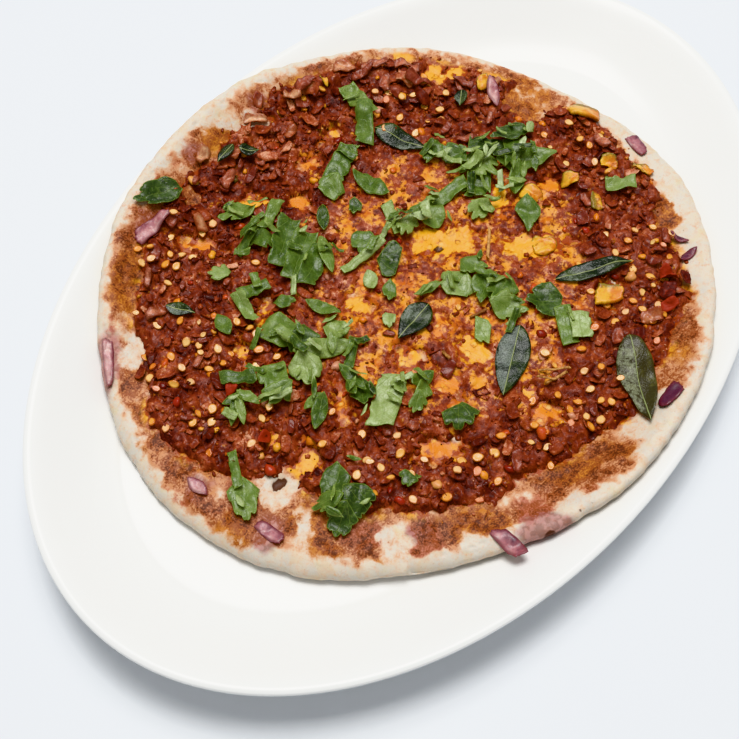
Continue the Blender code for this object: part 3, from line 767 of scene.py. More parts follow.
# Dark pricks in the pale rim: tiny holes, darkened with painted shade.
PRICKS = ((-40, -86.3), (-10.7, -89.8), (-65.3, -72), (-62.9, -81.5), (-102.5, -5), (-88.5, 31), (-36, -88),
          (57, -72), (72, -63), (95, -26), (60, 76))


@dataclass
class Layers:
    """Heights and finish marks of the batter and the masala at any place."""

    shape: FoodShape

    def __post_init__(self) -> None:
        """Work out the bed once, on a grid."""
        self.bed = Raster.of(self.shape.bed, 1.0)

    def cover(self, x: Array, y: Array) -> Array:
        """How far inside the masala's ragged edge each place lies, in millimetres.

        Args:
            x: Places along X.
            y: Places along Y.

        Returns:
            The distances, below 0 where the batter is bare.
        """
        turn, _ = self.shape.polar(x, y)
        ragged = 1.4 * waves(9 * np.cos(turn), 9 * np.sin(turn), 40)
        ragged = ragged + 2.3 * waves(x, y, 41, 5.6) + 1.5 * waves(x, y, 42, 2.3)
        inside = self.shape.inward(x, y) - round_the_clock(BARE_RIM, turn) - ragged
        crumbling = 3.4 * waves(x, y, 43, 5.6) + 1.7 * waves(x, y, 44, 1.9)
        for blot in (*YELLOW_PATCHES, *ORANGE_PATCHES, *TAN_PATCHES):
            inside = np.minimum(inside, blot.outside(x, y) + crumbling)
        return inside

    def craggy(self, x: Array, y: Array) -> Array:
        """Share of roughness: low in the middle, where the masala is thin, and full around it."""
        outside = THIN_MIDDLE.outside(x, y) + 8 * waves(x, y, 46, 17) + 4 * waves(x, y, 47, 6)
        return 0.28 + 0.72 * step_up(outside, -10, 7)

    def toast(self, x: Array, y: Array) -> Array:
        """How browned the batter is, from 0 to 1.

        Args:
            x: Places along X.
            y: Places along Y.

        Returns:
            The share at each place.
        """
        turn, _ = self.shape.polar(x, y)
        wander = 2.2 * waves(x, y, 50, 6) + 1.6 * waves(x, y, 51, 2.6)
        band = step_up(self.shape.inward(x, y) - round_the_clock(PALE_RIM, turn) + wander, -2.4, 1.5)
        blotchy = 0.6 + 0.5 * waves(x, y, 52, 6.5) + 0.3 * waves(x, y, 53, 2.4)
        deep = 0.46 * patchy(DEEP_TOAST, x, y, 2.5)
        pale = 0.85 * patchy(PALE_PATCHES, x + wander, y - wander, 1.6)
        return np.clip(band * (blotchy + deep) * (1 - pale), 0, 1)

    def crust(self, x: Array, y: Array) -> Array:
        """Height of the batter's upper face.

        Args:
            x: Places along X.
            y: Places along Y.

        Returns:
            The heights.
        """
        shape = self.shape
        inward = np.maximum(shape.inward(x, y), 0.0)
        share = np.clip(inward / shape.rounding, 0, 1)
        rounded = (1 - (1 - share) ** 2.2) ** (1 / 2.2)
        toast = self.toast(x, y)
        away, number = pebbles(x / 4.6, y / 4.6, 60)
        blisters = 0.5 * dome(away, 0.46) * (number > 0.45) * (0.25 + toast)
        away, number = pebbles(x / 2.9, y / 2.9, 64)
        pits = 0.5 * dome(away, 0.27) * (number > 0.72)
        relief = 0.4 * waves(x, y, 61, 15) + 0.28 * waves(x, y, 62, 5.5)
        relief = relief + 0.1 * waves(x, y, 63, 1.8) + blisters - pits
        hollow = 1.3 * patchy(HOLLOWS[:1], x + 0.8 * waves(x, y, 92, 1.8), y, 0.8)
        hollow = hollow + 0.9 * patchy(HOLLOWS[1:], x, y, 0.5)
        rise = shape.edge + (shape.thick - shape.edge) * rounded
        return self.bed.at(x, y) + rise + (relief - hollow) * np.minimum(rounded, inward / 4)

    def masala(self, x: Array, y: Array) -> tuple[Array, Array, Array]:
        """Height of the masala above the batter, its tone and how far it covers.

        Args:
            x: Places along X.
            y: Places along Y.

        Returns:
            The depth in millimetres, a tone from 0 to 1 that differs from crumb to crumb, and the
            distance inside the masala's edge.
        """
        inside = self.cover(x, y)
        crag = self.craggy(x, y)
        wx = x + 1.5 * waves(x, y, 70, 4.2) + 0.5 * waves(x, y, 71, 1.6)
        wy = y + 1.5 * waves(x, y, 72, 4.2) + 0.5 * waves(x, y, 73, 1.6)
        away, clump_tone = pebbles(wx / 5.4, wy / 5.4, 74)
        clump = dome(away, 0.8) * (0.1 + 0.9 * clump_tone)
        away, crumb_tone = pebbles(wx / 2.5, wy / 2.1, 77)
        crumb = dome(away, 0.72) * (0.15 + 0.85 * crumb_tone)
        away, grain_tone = pebbles(wx / 1.25, wy / 1.25, 80)
        grain = dome(away, 0.7) * grain_tone
        lumps = 1.5 * clump + 1.0 * crumb + 0.42 * grain - 1.15 + 0.6 * waves(x, y, 83, 11)
        full = 1.15 + 1.05 * (crag - 0.25) / 0.75 + crag * lumps
        depth = np.maximum(full, 0.3) * np.clip(inside / 2.6, 0, 1) ** 0.6
        depth = np.where(inside > 0, depth, inside * 0.8)
        tone = 0.5 * crumb_tone + 0.28 * grain_tone + 0.22 * clump_tone
        return depth, tone, inside


# Finishes


@dataclass(frozen=True)
class PorcelainFinish:
    """White glaze, very slightly uneven."""

    glaze: Colour = srgb(239, 240, 238)
    shade: Colour = srgb(237, 238, 236)

    def make(self) -> Material:
        """Make the material.

        Returns:
            The material.
        """
        recipe = Recipe("porcelain")
        cloud = recipe.grain(38.0, 3.0)
        ripple = recipe.grain(14.0, 2.0)
        return recipe.done(
            Base_Color=recipe.blend(cloud.rising(0.35, 0.7), self.glaze, self.shade),
            Roughness=0.24 + 0.07 * cloud, Coat_Weight=0.15, Coat_Roughness=0.2,
            Normal=recipe.bump(ripple, 0.05))


@dataclass(frozen=True)
class BatterFinish:
    """Griddled batter: cream, toasted, oily and stained by onion, with painted glints on the oil and
    painted shade in its hollows and pricks.
    """

    cream: Colour = srgb(207, 195, 177)
    grey: Colour = srgb(201, 194, 182)
    buff: Colour = srgb(208, 180, 142)
    sallow: Colour = srgb(206, 190, 140)
    halo: Colour = srgb(212, 168, 132)
    peach: Colour = srgb(194, 138, 100)
    rosy: Colour = srgb(178, 108, 84)
    honey: Colour = srgb(184, 118, 56)
    toast: Colour = srgb(140, 74, 42)
    char: Colour = srgb(88, 44, 28)
    yellow: Colour = srgb(236, 174, 54)
    # Painted highlight: pale yellow where the oily patches would shine.
    oil_highlight: Colour = srgb(232, 196, 112)
    amber: Colour = srgb(214, 132, 48)
    red_oil: Colour = srgb(150, 64, 24)
    pink: Colour = srgb(172, 118, 114)
    mauve: Colour = srgb(132, 78, 72)
    # Painted shade: dark brown in the hollows and pricks, where shade falls.
    hollow: Colour = srgb(78, 42, 28)
    freckle: Colour = srgb(190, 160, 130)

    def make(self) -> Material:
        """Make the material.

        Returns:
            The material.
        """
        recipe = Recipe("batter")
        lace = recipe.grain(2.4, 5.0, 0.6)
        speck = recipe.grain(0.6, 4.0)
        cloud = recipe.grain(6.0, 3.0)
        worms = (recipe.grain(3.4, 3.0, 1.2) - 0.5).size()
        toast = recipe.mark("toast") + 0.9 * (lace - 0.5) + 0.4 * (speck - 0.5)
        warmth = recipe.mark("warmth") + 0.8 * (lace - 0.5)
        oil, amber, red = recipe.marks("oils")
        skin = recipe.blend(cloud.rising(0.35, 0.65), self.cream, self.grey)
        skin = recipe.blend(recipe.grain(4.4, 5.0, 0.7).rising(0.5, 0.7) * 0.45, skin, self.buff)
        skin = recipe.blend(recipe.grain(7.0, 4.0, 0.4).rising(0.56, 0.7) * 0.35, skin, self.sallow)
        skin = recipe.darken(speck.rising(0.62, 0.74) * 0.3, skin, self.freckle)
        skin = recipe.blend(toast.rising(-0.05, 0.3) * 0.65, skin, self.halo)
        ground = recipe.blend(warmth.rising(-0.1, -0.6), self.peach, self.honey)
        ground = recipe.blend(warmth.rising(0.1, 0.6), ground, self.rosy)
        colour = recipe.blend(toast.rising(0.12, 0.52), skin, ground)
        pink = recipe.mark("pink") + 0.5 * (lace - 0.5)
        streak = recipe.blend(recipe.grain(2.2, 4.0, 0.5).rising(0.42, 0.6), self.pink, self.mauve)
        colour = recipe.blend(pink.rising(0.2, 0.75) * 0.8, colour, streak)
        traced = worms.rising(0.08, 0.02) * (toast + 0.9 * (cloud - 0.5)).rising(0.3, 0.6)
        colour = recipe.blend(traced * 0.75, colour, self.toast)
        clot = recipe.grain(1.7, 4.0, 0.4)
        dotted = toast + 1.3 * (speck - 0.5) + 0.9 * (clot - 0.5) + 0.8 * (cloud - 0.5)
        colour = recipe.blend(dotted.rising(0.58, 0.84) * 0.8, colour, self.toast)
        colour = recipe.blend(dotted.rising(0.92, 1.16) * 0.9, colour, self.char)
        oily = recipe.blend((amber + 2.2 * (recipe.grain(3.4, 4.0, 0.5) - 0.5)).rising(0.2, 0.8),
                            self.yellow, self.amber)
        bubble = recipe.spots(3.6) + 0.5 * (lace - 0.5)
        # Painted highlight: pale yellow spots at the middle of the bubble cells, where the oil would shine.
        oily = recipe.blend(bubble.rising(0.3, 0.1) * cloud.rising(0.4, 0.55) * 0.8, oily, self.oil_highlight)
        ring = (bubble - 0.36).size().rising(0.08, 0.02) * cloud.rising(0.46, 0.6)
        oily = recipe.blend(ring * 0.7, oily, self.toast)
        grains = recipe.grain(1.7, 5.0, 0.4)
        oily = recipe.blend((red + 1.3 * (grains - 0.5)).rising(0.35, 0.75), oily, self.red_oil)
        colour = recipe.blend((oil + 0.5 * (lace - 0.5) * oil).rising(0.1, 0.8), colour, oily)
        # Painted shade: darkens the hollows and the pricks.
        colour = recipe.blend((recipe.mark("hollow") + 0.8 * (lace - 0.5)).rising(0.3, 0.7) * 0.95, colour,
                              self.hollow)
        fine = speck + 0.6 * lace
        return recipe.done(
            Base_Color=colour, Roughness=0.5 - 0.15 * oil + 0.2 * (speck - 0.5), Specular_IOR_Level=0.25,
            **glow(0.12, 3, 1.8, 1),
            Normal=recipe.bump(fine, 0.13))


@dataclass(frozen=True)
class MasalaFinish:
    """Oily chilli paste, from dark maroon to brick and orange, with painted shade in its crevices and
    painted glints at its palest.
    """

    name: str = "masala"
    # The palest stops stand partly for pale crumbs in the paste and partly for glints, a painted highlight.
    reds: Stops = (
        (0.0, srgb(54, 14, 9)), (0.25, srgb(86, 28, 18)), (0.5, srgb(116, 48, 31)),
        (0.72, srgb(144, 68, 44)), (0.9, srgb(172, 98, 68)), (1.0, srgb(200, 144, 114)))
    rust: Colour = srgb(184, 96, 40)
    gold: Colour = srgb(222, 154, 60)
    # Painted shade: the colour multiplied into the paste in its crevices, where shade falls.
    crevice_shade: Colour = srgb(104, 36, 20)

    def make(self) -> Material:
        """Make the material.

        Returns:
            The material.
        """
        recipe = Recipe(self.name)
        fine = recipe.grain(0.5, 5.0, 0.2)
        grit = recipe.grain(1.5, 4.0, 0.3)
        broad = recipe.grain(8.0, 2.0)
        tone, thin, crevice_shade = recipe.marks("paste")
        shade = (0.62 * tone + 0.7 * (fine - 0.5) + 0.8 * (grit - 0.5) + 1.1 * (broad - 0.5) + 0.2
                 + 0.22 * thin)
        red = recipe.ramp(shade, self.reds)
        oiled = recipe.blend((broad + 0.4 * (grit - 0.5)).rising(0.38, 0.62), self.rust, self.gold)
        clot = recipe.grain(4.5, 3.0, 0.4)
        shown = thin + 0.6 * (fine - 0.5) + 1.1 * (grit - 0.5) + 2.5 * (clot - 0.5)
        colour = recipe.blend(shown.rising(0.46, 0.94), red, oiled)
        # Painted shade: the paste darkens where it lies below its surroundings, less where it is thin.
        colour = recipe.darken(crevice_shade * (1.0 - 0.6 * thin.rising(0.1, 0.6)), colour, self.crevice_shade)
        return recipe.done(
            Base_Color=colour, Roughness=0.5 - 0.2 * grit.rising(0.48, 0.6), Specular_IOR_Level=0.26,
            Normal=recipe.bump(0.35 * fine + grit, 0.26))


@dataclass(frozen=True)
class SeedFinish:
    """Cream to orange chilli seeds with a darker rim."""

    stops: Stops = (
        (0.0, srgb(200, 112, 36)), (0.25, srgb(220, 148, 58)), (0.55, srgb(234, 182, 96)),
        (0.8, srgb(238, 202, 140)), (1.0, srgb(222, 152, 116)))
    rim: Colour = srgb(190, 112, 50)

    def make(self) -> Material:
        """Make the material.

        Returns:
            The material.
        """
        recipe = Recipe("chilli_seed")
        tone, rim, _ = recipe.marks("paste")
        fine = recipe.grain(0.8, 2.0)
        colour = recipe.ramp(tone + 0.2 * (fine - 0.5), self.stops)
        colour = recipe.darken((rim + 0.5 * (fine - 0.5)).rising(0.5, 1.0) * 0.75, colour, self.rim)
        return recipe.done(Base_Color=colour, Roughness=0.3 + 0.15 * fine, Coat_Weight=0.3,
                           Coat_Roughness=0.15, **glow(0.15, 1, 0.6, 0.3), Normal=recipe.bump(fine, 0.05))


@dataclass(frozen=True)
class HerbFinish:
    """Fresh coriander: green with fine pale veins."""

    greens: Stops = (
        (0.0, srgb(38, 54, 26)), (0.3, srgb(72, 94, 42)), (0.55, srgb(101, 122, 60)),
        (0.8, srgb(136, 152, 92)), (1.0, srgb(170, 184, 138)))
    vein: Colour = srgb(146, 168, 92)
    veins: float = 6.0

    def make(self) -> Material:
        """Make the material.

        Returns:
            The material.
        """
        recipe = Recipe("coriander")
        along, across, tone = recipe.marks("leaf")
        blotch = recipe.grain(3.0, 3.0, 0.5)
        fine = recipe.grain(0.5, 3.0)
        shade = tone + 0.55 * (blotch - 0.5) + 0.35 * (fine - 0.5)
        colour = recipe.ramp(shade, self.greens)
        turn = across.turn_from(along)
        away = (along * along + across * across) ** 0.5
        beside = (turn * self.veins + 0.6 * (blotch - 0.5)).sine().size() * away / self.veins
        line = beside.rising(0.16, 0.04) * away.rising(0.5, 2.0)
        net = recipe.spots(1.3).rising(0.6, 0.75)
        # Painted highlight: the cut edges are lightened towards the pale vein colour.
        rim = recipe.mark("edge").rising(0.35, 0.0)
        colour = recipe.blend(0.3 * line + 0.12 * net + 0.5 * rim, colour, self.vein)
        return recipe.done(Base_Color=colour, Roughness=0.4 + 0.3 * (blotch - 0.5),
                           Specular_IOR_Level=0.5, **glow(0.08, 0.6, 1.2, 0.3),
                           Normal=recipe.bump(blotch + 0.3 * fine - 0.5 * line - 0.3 * net, 0.2))


@dataclass(frozen=True)
class CurryLeafFinish:
    """Fried curry leaf: nearly black green with a pale midrib, and a grey sheen painted in flecks, mostly
    on one side.
    """

    name: str = "curry_leaf"
    dark: Colour = srgb(20, 32, 17)
    green: Colour = srgb(62, 76, 38)
    # Painted sheen: grey that stands for the gloss's reflection.
    painted_sheen: Colour = srgb(126, 134, 126)
    midrib: Colour = srgb(146, 156, 104)

    def make(self) -> Material:
        """Make the material.

        Returns:
            The material.
        """
        recipe = Recipe(self.name)
        along, across, tone = recipe.marks("leaf")
        blister = recipe.grain(1.1, 3.0)
        cloud = recipe.grain(6.0, 2.0)
        colour = recipe.blend((cloud + 0.4 * (blister - 0.5)).rising(0.4, 0.75), self.dark, self.green)
        # Painted sheen: grey flecks, mostly on one half, for light reflected off the bumpy gloss.
        half = across.rising(-0.3, 0.3)
        painted_sheen = (tone + 1.4 * (blister - 0.5) + 1.8 * (cloud - 0.5) - 0.75 * half).rising(0.25, 0.6)
        grit = recipe.grain(0.45, 3.0)
        fleck = grit.rising(0.4, 0.62)
        colour = recipe.blend(painted_sheen * (0.25 + 0.6 * fleck), colour, self.painted_sheen)
        rib = across.size().rising(0.26, 0.08)
        side = (along * 2.4 - across.size() * 1.6).sine().size().rising(0.16, 0.04)
        colour = recipe.blend(rib * 0.85, colour, self.midrib)
        colour = recipe.blend(side * 0.06, colour, self.midrib)
        return recipe.done(Base_Color=colour, Roughness=0.3 + 0.3 * painted_sheen, Coat_Weight=0.12,
                           Coat_Roughness=0.2,
                           Normal=recipe.bump(blister + 0.6 * rib + 0.3 * cloud + 0.8 * grit, 0.28))


@dataclass(frozen=True)
class OnionFinish:
    """Softened onion: pinkish white flesh, streaked with purple, with an edge of another colour."""

    name: str = "onion"
    flesh: Colour = srgb(206, 172, 164)
    rose: Colour = srgb(168, 108, 114)
    purple: Colour = srgb(84, 40, 60)
    rim: Colour = srgb(110, 54, 62)
    stain: float = 0.0
    relief: float = 0.16

    def make(self) -> Material:
        """Make the material.

        Returns:
            The material.
        """
        recipe = Recipe(self.name)
        _, across, tone = recipe.marks("leaf")
        fine = recipe.grain(1.2, 3.0)
        cloud = recipe.grain(3.6, 3.0, 0.8)
        shade = tone + 0.1 * across + 0.6 * (fine - 0.5) + 1.1 * (cloud - 0.5)
        colour = recipe.ramp(shade, ((0.0, self.flesh), (0.5, self.rose), (1.0, self.purple)))
        edge = recipe.mark("edge") + 1.4 * (cloud - 0.5) + 0.8 * (fine - 0.5)
        colour = recipe.blend(edge.rising(1.3, 0.1) * 0.75, colour, self.rim)
        if self.stain:
            colour = recipe.blend(recipe.grain(1.8, 4.0, 0.4).rising(0.44, 0.66) * self.stain, colour,
                                  self.rim)
        return recipe.done(Base_Color=colour, Roughness=0.34 + 0.2 * fine, Coat_Weight=0.1,
                           Coat_Roughness=0.15, **glow(0.25, 2.5, 1.2, 1),
                           Normal=recipe.bump(fine + cloud, self.relief))


@dataclass(frozen=True)
class PepperFinish:
    """Diced pepper: yellow to orange flesh with an olive skin edge."""

    yellow: Colour = srgb(224, 172, 66)
    orange: Colour = srgb(202, 124, 42)
    stain: Colour = srgb(132, 50, 24)
    olive: Colour = srgb(118, 104, 46)

    def make(self) -> Material:
        """Make the material.

        Returns:
            The material.
        """
        recipe = Recipe("pepper")
        along, across, tone = recipe.marks("leaf")
        cloud = recipe.grain(3.0, 3.0)
        fine = recipe.grain(0.7, 2.0)
        colour = recipe.blend((cloud + 0.05 * along).rising(0.4, 0.68), self.yellow, self.orange)
        edge = (across * 0.28 + tone + 0.7 * (fine - 0.5)).rising(0.9, 1.3)
        side = recipe.mark("edge").rising(0.7, 0.1) * (cloud + 0.1 * across).rising(0.3, 0.6)
        colour = recipe.blend(edge * 0.85, colour, self.olive)
        colour = recipe.blend(side * 0.75, colour, self.olive)
        colour = recipe.blend(recipe.grain(2.2, 4.0, 0.4).rising(0.54, 0.7) * 0.6, colour, self.stain)
        return recipe.done(Base_Color=colour, Roughness=0.36 + 0.2 * cloud, Coat_Weight=0.08,
                           Coat_Roughness=0.2, **glow(0.3, 2, 1, 0.4),
                           Normal=recipe.bump(fine + cloud, 0.1))


@dataclass(frozen=True)
class BitFinish:
    """Bits of vegetable in the masala, each of one colour, from dark red through orange to olive."""

    stops: Stops = (
        (0.0, srgb(92, 24, 18)), (0.2, srgb(150, 44, 26)), (0.36, srgb(180, 74, 40)),
        (0.5, srgb(206, 118, 40)), (0.68, srgb(226, 160, 62)), (0.82, srgb(196, 138, 108)),
        (0.93, srgb(120, 66, 60)), (1.0, srgb(96, 96, 44)))

    def make(self) -> Material:
        """Make the material.

        Returns:
            The material.
        """
        recipe = Recipe("masala_bit")
        tone, _, _ = recipe.marks("paste")
        fine = recipe.grain(0.9, 3.0)
        colour = recipe.ramp(tone + 0.12 * (fine - 0.5), self.stops)
        return recipe.done(Base_Color=colour, Roughness=0.3 + 0.1 * fine, Specular_IOR_Level=0.4,
                           **glow(0.1, 2, 1, 0.5), Normal=recipe.bump(fine, 0.15))


@dataclass(frozen=True)
class TwoToneFinish:
    """Streaky finish between two colours, for stalks and chilli skins."""

    name: str
    light: Colour
    dark: Colour
    gloss: float

    def make(self) -> Material:
        """Make the material.

        Returns:
            The material.
        """
        recipe = Recipe(self.name)
        streak = recipe.grain(1.1, 4.0, 0.5)
        _, _, tone = recipe.marks("leaf")
        colour = recipe.blend((tone + 1.4 * (streak - 0.5)).rising(0.2, 0.8), self.light, self.dark)
        return recipe.done(Base_Color=colour, Roughness=0.7 - self.gloss + 0.2 * streak,
                           Specular_IOR_Level=0.35, Normal=recipe.bump(streak, 0.35))


@dataclass(frozen=True)
class TableFinish:
    """Plain pale table top."""

    top: Colour = srgb(231, 235, 239)
    shade: Colour = srgb(229, 233, 238)

    def make(self) -> Material:
        """Make the material.

        Returns:
            The material.
        """
        recipe = Recipe("table")
        cloud = recipe.grain(160.0, 2.0)
        return recipe.done(Base_Color=recipe.blend(cloud.rising(0.2, 0.8), self.top, self.shade),
                           Roughness=0.6)


# The plate, the batter and the masala


@dataclass
class Plate:
    """White oval plate with a rounded lip and a foot ring."""

    shape: PlateShape
    sides: int = 288
    steps: int = 5

    def build(self, finish: Material) -> None:
        """Make the plate from rings, from the middle of its top round the lip to its underside.

        Args:
            finish: Its material.
        """
        shape = self.shape
        profile = smooth_line([*shape.top[::-1], shape.lip, *shape.under[::-1]], self.steps)
        turn = np.linspace(0, math.tau, self.sides, endpoint=False)
        profile = np.column_stack((np.maximum(profile[:, 0], 0.0),
                                   np.clip(profile[:, 1], 0.0, shape.top[0][1])))
        rings = [np.column_stack(((shape.half_length - inset) * np.cos(turn),
                                  (shape.half_width - inset) * np.sin(turn),
                                  np.full(self.sides, height))) for inset, height in profile]
        shrink = np.linspace(1, 0, 9)[1:-1]
        rings = [*(rings[0] * (share, share, 1) for share in shrink[::-1]), *rings,
                 *(rings[-1] * (share, share, 1) for share in shrink)]
        centres = [(0.0, 0.0, ring[0][2]) for ring in (rings[-1], rings[0])]
        verts, faces = closed_rings(rings, centres)
        make_piece("oval_plate", verts, faces, finish, ("plate",))


@dataclass
class Batter:
    """The uttapam's batter, made of rings that follow its outline."""

    layers: Layers
    sides: int = 760
    # Inset and height of the rings round the rounded rim's lower half.
    lower_rim: tuple[tuple[float, float], ...] = (
        (45.0, 0.05), (14.0, 0.05), (5.0, 0.05), (2.2, 0.05), (1.1, 0.25), (0.45, 0.75), (0.1, 1.4))
    ring_steps: tuple[tuple[float, float], ...] = ((0.0, 0.16), (0.8, 0.45), (4.0, 0.8), (34.0, 1.3))

    def _insets(self) -> list[float]:
        """Insets of the rings over the top, close together near the outline.

        Returns:
            The insets, from the outline inward.
        """
        insets, inset = [], 0.0
        while inset < 98:
            insets.append(inset)
            inset += [step for start, step in self.ring_steps if inset >= start - 1e-9][-1]
        return insets

    def build(self, finish: Material) -> None:
        """Make the batter and mark where it is toasted, oily, pink or hollow.

        Args:
            finish: Its material.
        """
        layers, shape = self.layers, self.layers.shape
        turn = np.linspace(0, math.tau, self.sides, endpoint=False)
        rings = []
        for inset, height in self.lower_rim:
            x, y = shape.on_outline(turn, inset)
            rings.append(np.column_stack((x, y, layers.bed.at(x, y) + height)))
        for inset in self._insets():
            x, y = shape.on_outline(turn, inset)
            rings.append(np.column_stack((x, y, layers.crust(x, y))))
        x, y = np.array([[shape.centre[0]], [shape.centre[1]]])
        centres = [(x[0], y[0], height[0]) for height in (layers.crust(x, y), layers.bed.at(x, y))]
        verts, faces = closed_rings(rings, centres)
        faces = [face[::-1] for face in faces]
        make_piece("griddled_batter", verts, faces, finish, ("uttapam",),
                   self._marks(verts[:, 0], verts[:, 1]))

    def _marks(self, x: Array, y: Array) -> dict[str, Array]:
        """Numbers for the finish at each place.

        Args:
            x: Places along X.
            y: Places along Y.

        Returns:
            The numbers of each mark.
        """
        layers = self.layers
        inside = layers.cover(x, y)
        turn, _ = layers.shape.polar(x, y)
        near = 1 - step_up(layers.shape.inward(x, y) - round_the_clock(BARE_RIM, turn), -6, 3)
        stained = step_up(inside, -2.6, 0.6)
        bare = np.maximum(patchy(YELLOW_PATCHES, x, y, 2.2), patchy(ORANGE_PATCHES, x, y, 2.2))
        stain = np.clip(0.35 + 1.1 * waves(x, y, 96, 9) + 0.5 * waves(x, y, 97, 3), 0.05, 1)
        stain = np.where(inside > -0.5, 1, stain)
        oil = np.clip(np.maximum((1 - near) * stain, bare), 0, 1) * (1 - patchy(TAN_PATCHES, x, y, 2.0))
        amber = np.clip(patchy(ORANGE_PATCHES, x, y, 1.5) + 0.5 * waves(x, y, 90, 3.1)
                        + 0.35 * waves(x, y, 91, 1.4) + 0.1, 0, 1)
        red = np.clip(stained * 0.75 + 0.27, 0, 1)
        # Painted shade: marks the hollows and the pricks, which the finish darkens.
        hollow = patchy(HOLLOWS, x + 0.8 * waves(x, y, 92, 1.8), y, 0.5)
        for px, py in PRICKS:
            hollow = np.maximum(hollow, 0.6 * step_up(-np.hypot(x - px, y - py), -0.8, -0.3))
        warmth = patchy(ROSY_CRUST, x, y, 3.0) - patchy(AMBER_CRUST, x, y, 3.0)
        warmth = warmth + 0.7 * waves(x, y, 98, 10)
        pink = patchy(PINK_PATCHES, x + 1.5 * waves(x, y, 93, 4), y + 1.5 * waves(x, y, 94, 4), 3.2)
        return {"toast": layers.toast(x, y), "warmth": warmth, "oils": np.column_stack((oil, amber, red)),
                "pink": pink, "hollow": hollow}


@dataclass
class Masala:
    """The craggy chilli paste, one fine sheet whose edge dips under the batter's face."""

    layers: Layers
    pitch: float = 0.6
    hem: float = 0.75

    def build(self, finish: Material) -> None:
        """Make the paste on a square grid, without the places that it leaves bare.

        Args:
            finish: Its material.
        """
        layers = self.layers
        xs, ys = np.arange(-112, 112, self.pitch), np.arange(-104, 106, self.pitch)
        x, y = np.meshgrid(xs, ys)
        depth, tone, inside = layers.masala(x, y)
        height = layers.crust(x, y) + depth
        near = Raster(depth, self.pitch).blurred(1.5).values
        # Painted shade: how far the paste lies below its blurred surroundings, which darkens it in
        # crevices.
        crevice_shade = np.clip((near - depth - 0.12) / 0.9, 0, 1)
        thin = self._thin(x, y) - 0.5 * (depth - near)
        kept = inside > -self.hem
        whole = kept[:-1, :-1] & kept[1:, :-1] & kept[:-1, 1:] & kept[1:, 1:]
        rows, columns = np.nonzero(whole)
        corners = [(rows + up, columns + right) for up, right in ((0, 0), (0, 1), (1, 1), (1, 0))]
        used = np.zeros(kept.shape, bool)
        for corner in corners:
            used[corner] = True
        number = np.full(kept.shape, -1)
        number[used] = np.arange(used.sum())
        faces = np.column_stack([number[corner] for corner in corners])
        verts = np.column_stack((x[used], y[used], height[used]))
        paste = np.column_stack((tone[used], thin[used], crevice_shade[used]))
        make_piece("chilli_paste", verts, faces.tolist(), finish, ("masala",), {"paste": paste})

    def _thin(self, x: Array, y: Array) -> Array:
        """How far the oiled batter shows: near bare patches and in the thin middle.

        Args:
            x: Places along X.
            y: Places along Y.

        Returns:
            The share at each place.
        """
        near = np.maximum(patchy(YELLOW_PATCHES, x, y, 4.5), 0.9 * patchy(ORANGE_PATCHES, x, y, 4.0))
        middle = (1 - self.layers.craggy(x, y)) / 0.72
        return np.maximum(near, 0.62 * middle) + 0.2 * waves(x, y, 95, 7) * middle


# Small things in great numbers


def turned(spin: Array, tilt: Array, lean: Array) -> Array:
    """Turn each of many pieces about Z by a spin, then tilt it towards a lean.

    Args:
        spin: Turns about the upright axis, in radians.
        tilt: How far each tips over, in radians.
        lean: Compass turn of the side that each tips towards, in radians.

    Returns:
        One 3 by 3 matrix to a piece.
    """
    def about_z(turn: Array) -> Array:
        """Matrices of turns about Z.

        Args:
            turn: The turns.

        Returns:
            The matrices.
        """
        zero, one = np.zeros_like(turn), np.ones_like(turn)
        rows = ((np.cos(turn), -np.sin(turn), zero), (np.sin(turn), np.cos(turn), zero), (zero, zero, one))
        return np.moveaxis(np.array(rows), 2, 0)

    zero, one = np.zeros_like(tilt), np.ones_like(tilt)
    tip = np.moveaxis(np.array(((np.cos(tilt), zero, np.sin(tilt)), (zero, one, zero),
                                (-np.sin(tilt), zero, np.cos(tilt)))), 2, 0)
    return about_z(lean) @ tip @ about_z(spin - lean)


def icosphere() -> tuple[Array, list[tuple[int, int, int]]]:
    """Points and faces of a ball of radius 1, of 80 triangles.

    Returns:
        The points and the faces' point numbers.
    """
    golden = (1 + 5 ** 0.5) / 2
    pairs = [(a, b) for b in (golden, -golden) for a in (-1, 1)]
    corners = [(a, b, 0) for a, b in pairs] + [(0, a, b) for a, b in pairs] + [(b, 0, a) for a, b in pairs]
    points = [Vector(corner).normalized() for corner in corners]
    coarse = ((0, 11, 5), (0, 5, 1), (0, 1, 7), (0, 7, 10), (0, 10, 11), (1, 5, 9), (5, 11, 4), (11, 10, 2),
              (10, 7, 6), (7, 1, 8), (3, 9, 4), (3, 4, 2), (3, 2, 6), (3, 6, 8), (3, 8, 9), (4, 9, 5),
              (2, 4, 11), (6, 2, 10), (8, 6, 7), (9, 8, 1))
    halves: dict[tuple[int, int], int] = {}

    def half(a: int, b: int) -> int:
        """Number of the point halfway along an edge.

        Args:
            a: Number of its one end.
            b: Number of its other end.

        Returns:
            The point's number.
        """
        key = (min(a, b), max(a, b))
        if key not in halves:
            halves[key] = len(points)
            points.append((points[a] + points[b]).normalized())
        return halves[key]

    faces = []
    for a, b, c in coarse:
        ab, bc, ca = half(a, b), half(b, c), half(c, a)
        faces += [(a, ab, ca), (b, bc, ab), (c, ca, bc), (ab, bc, ca)]
    return np.array(points), faces


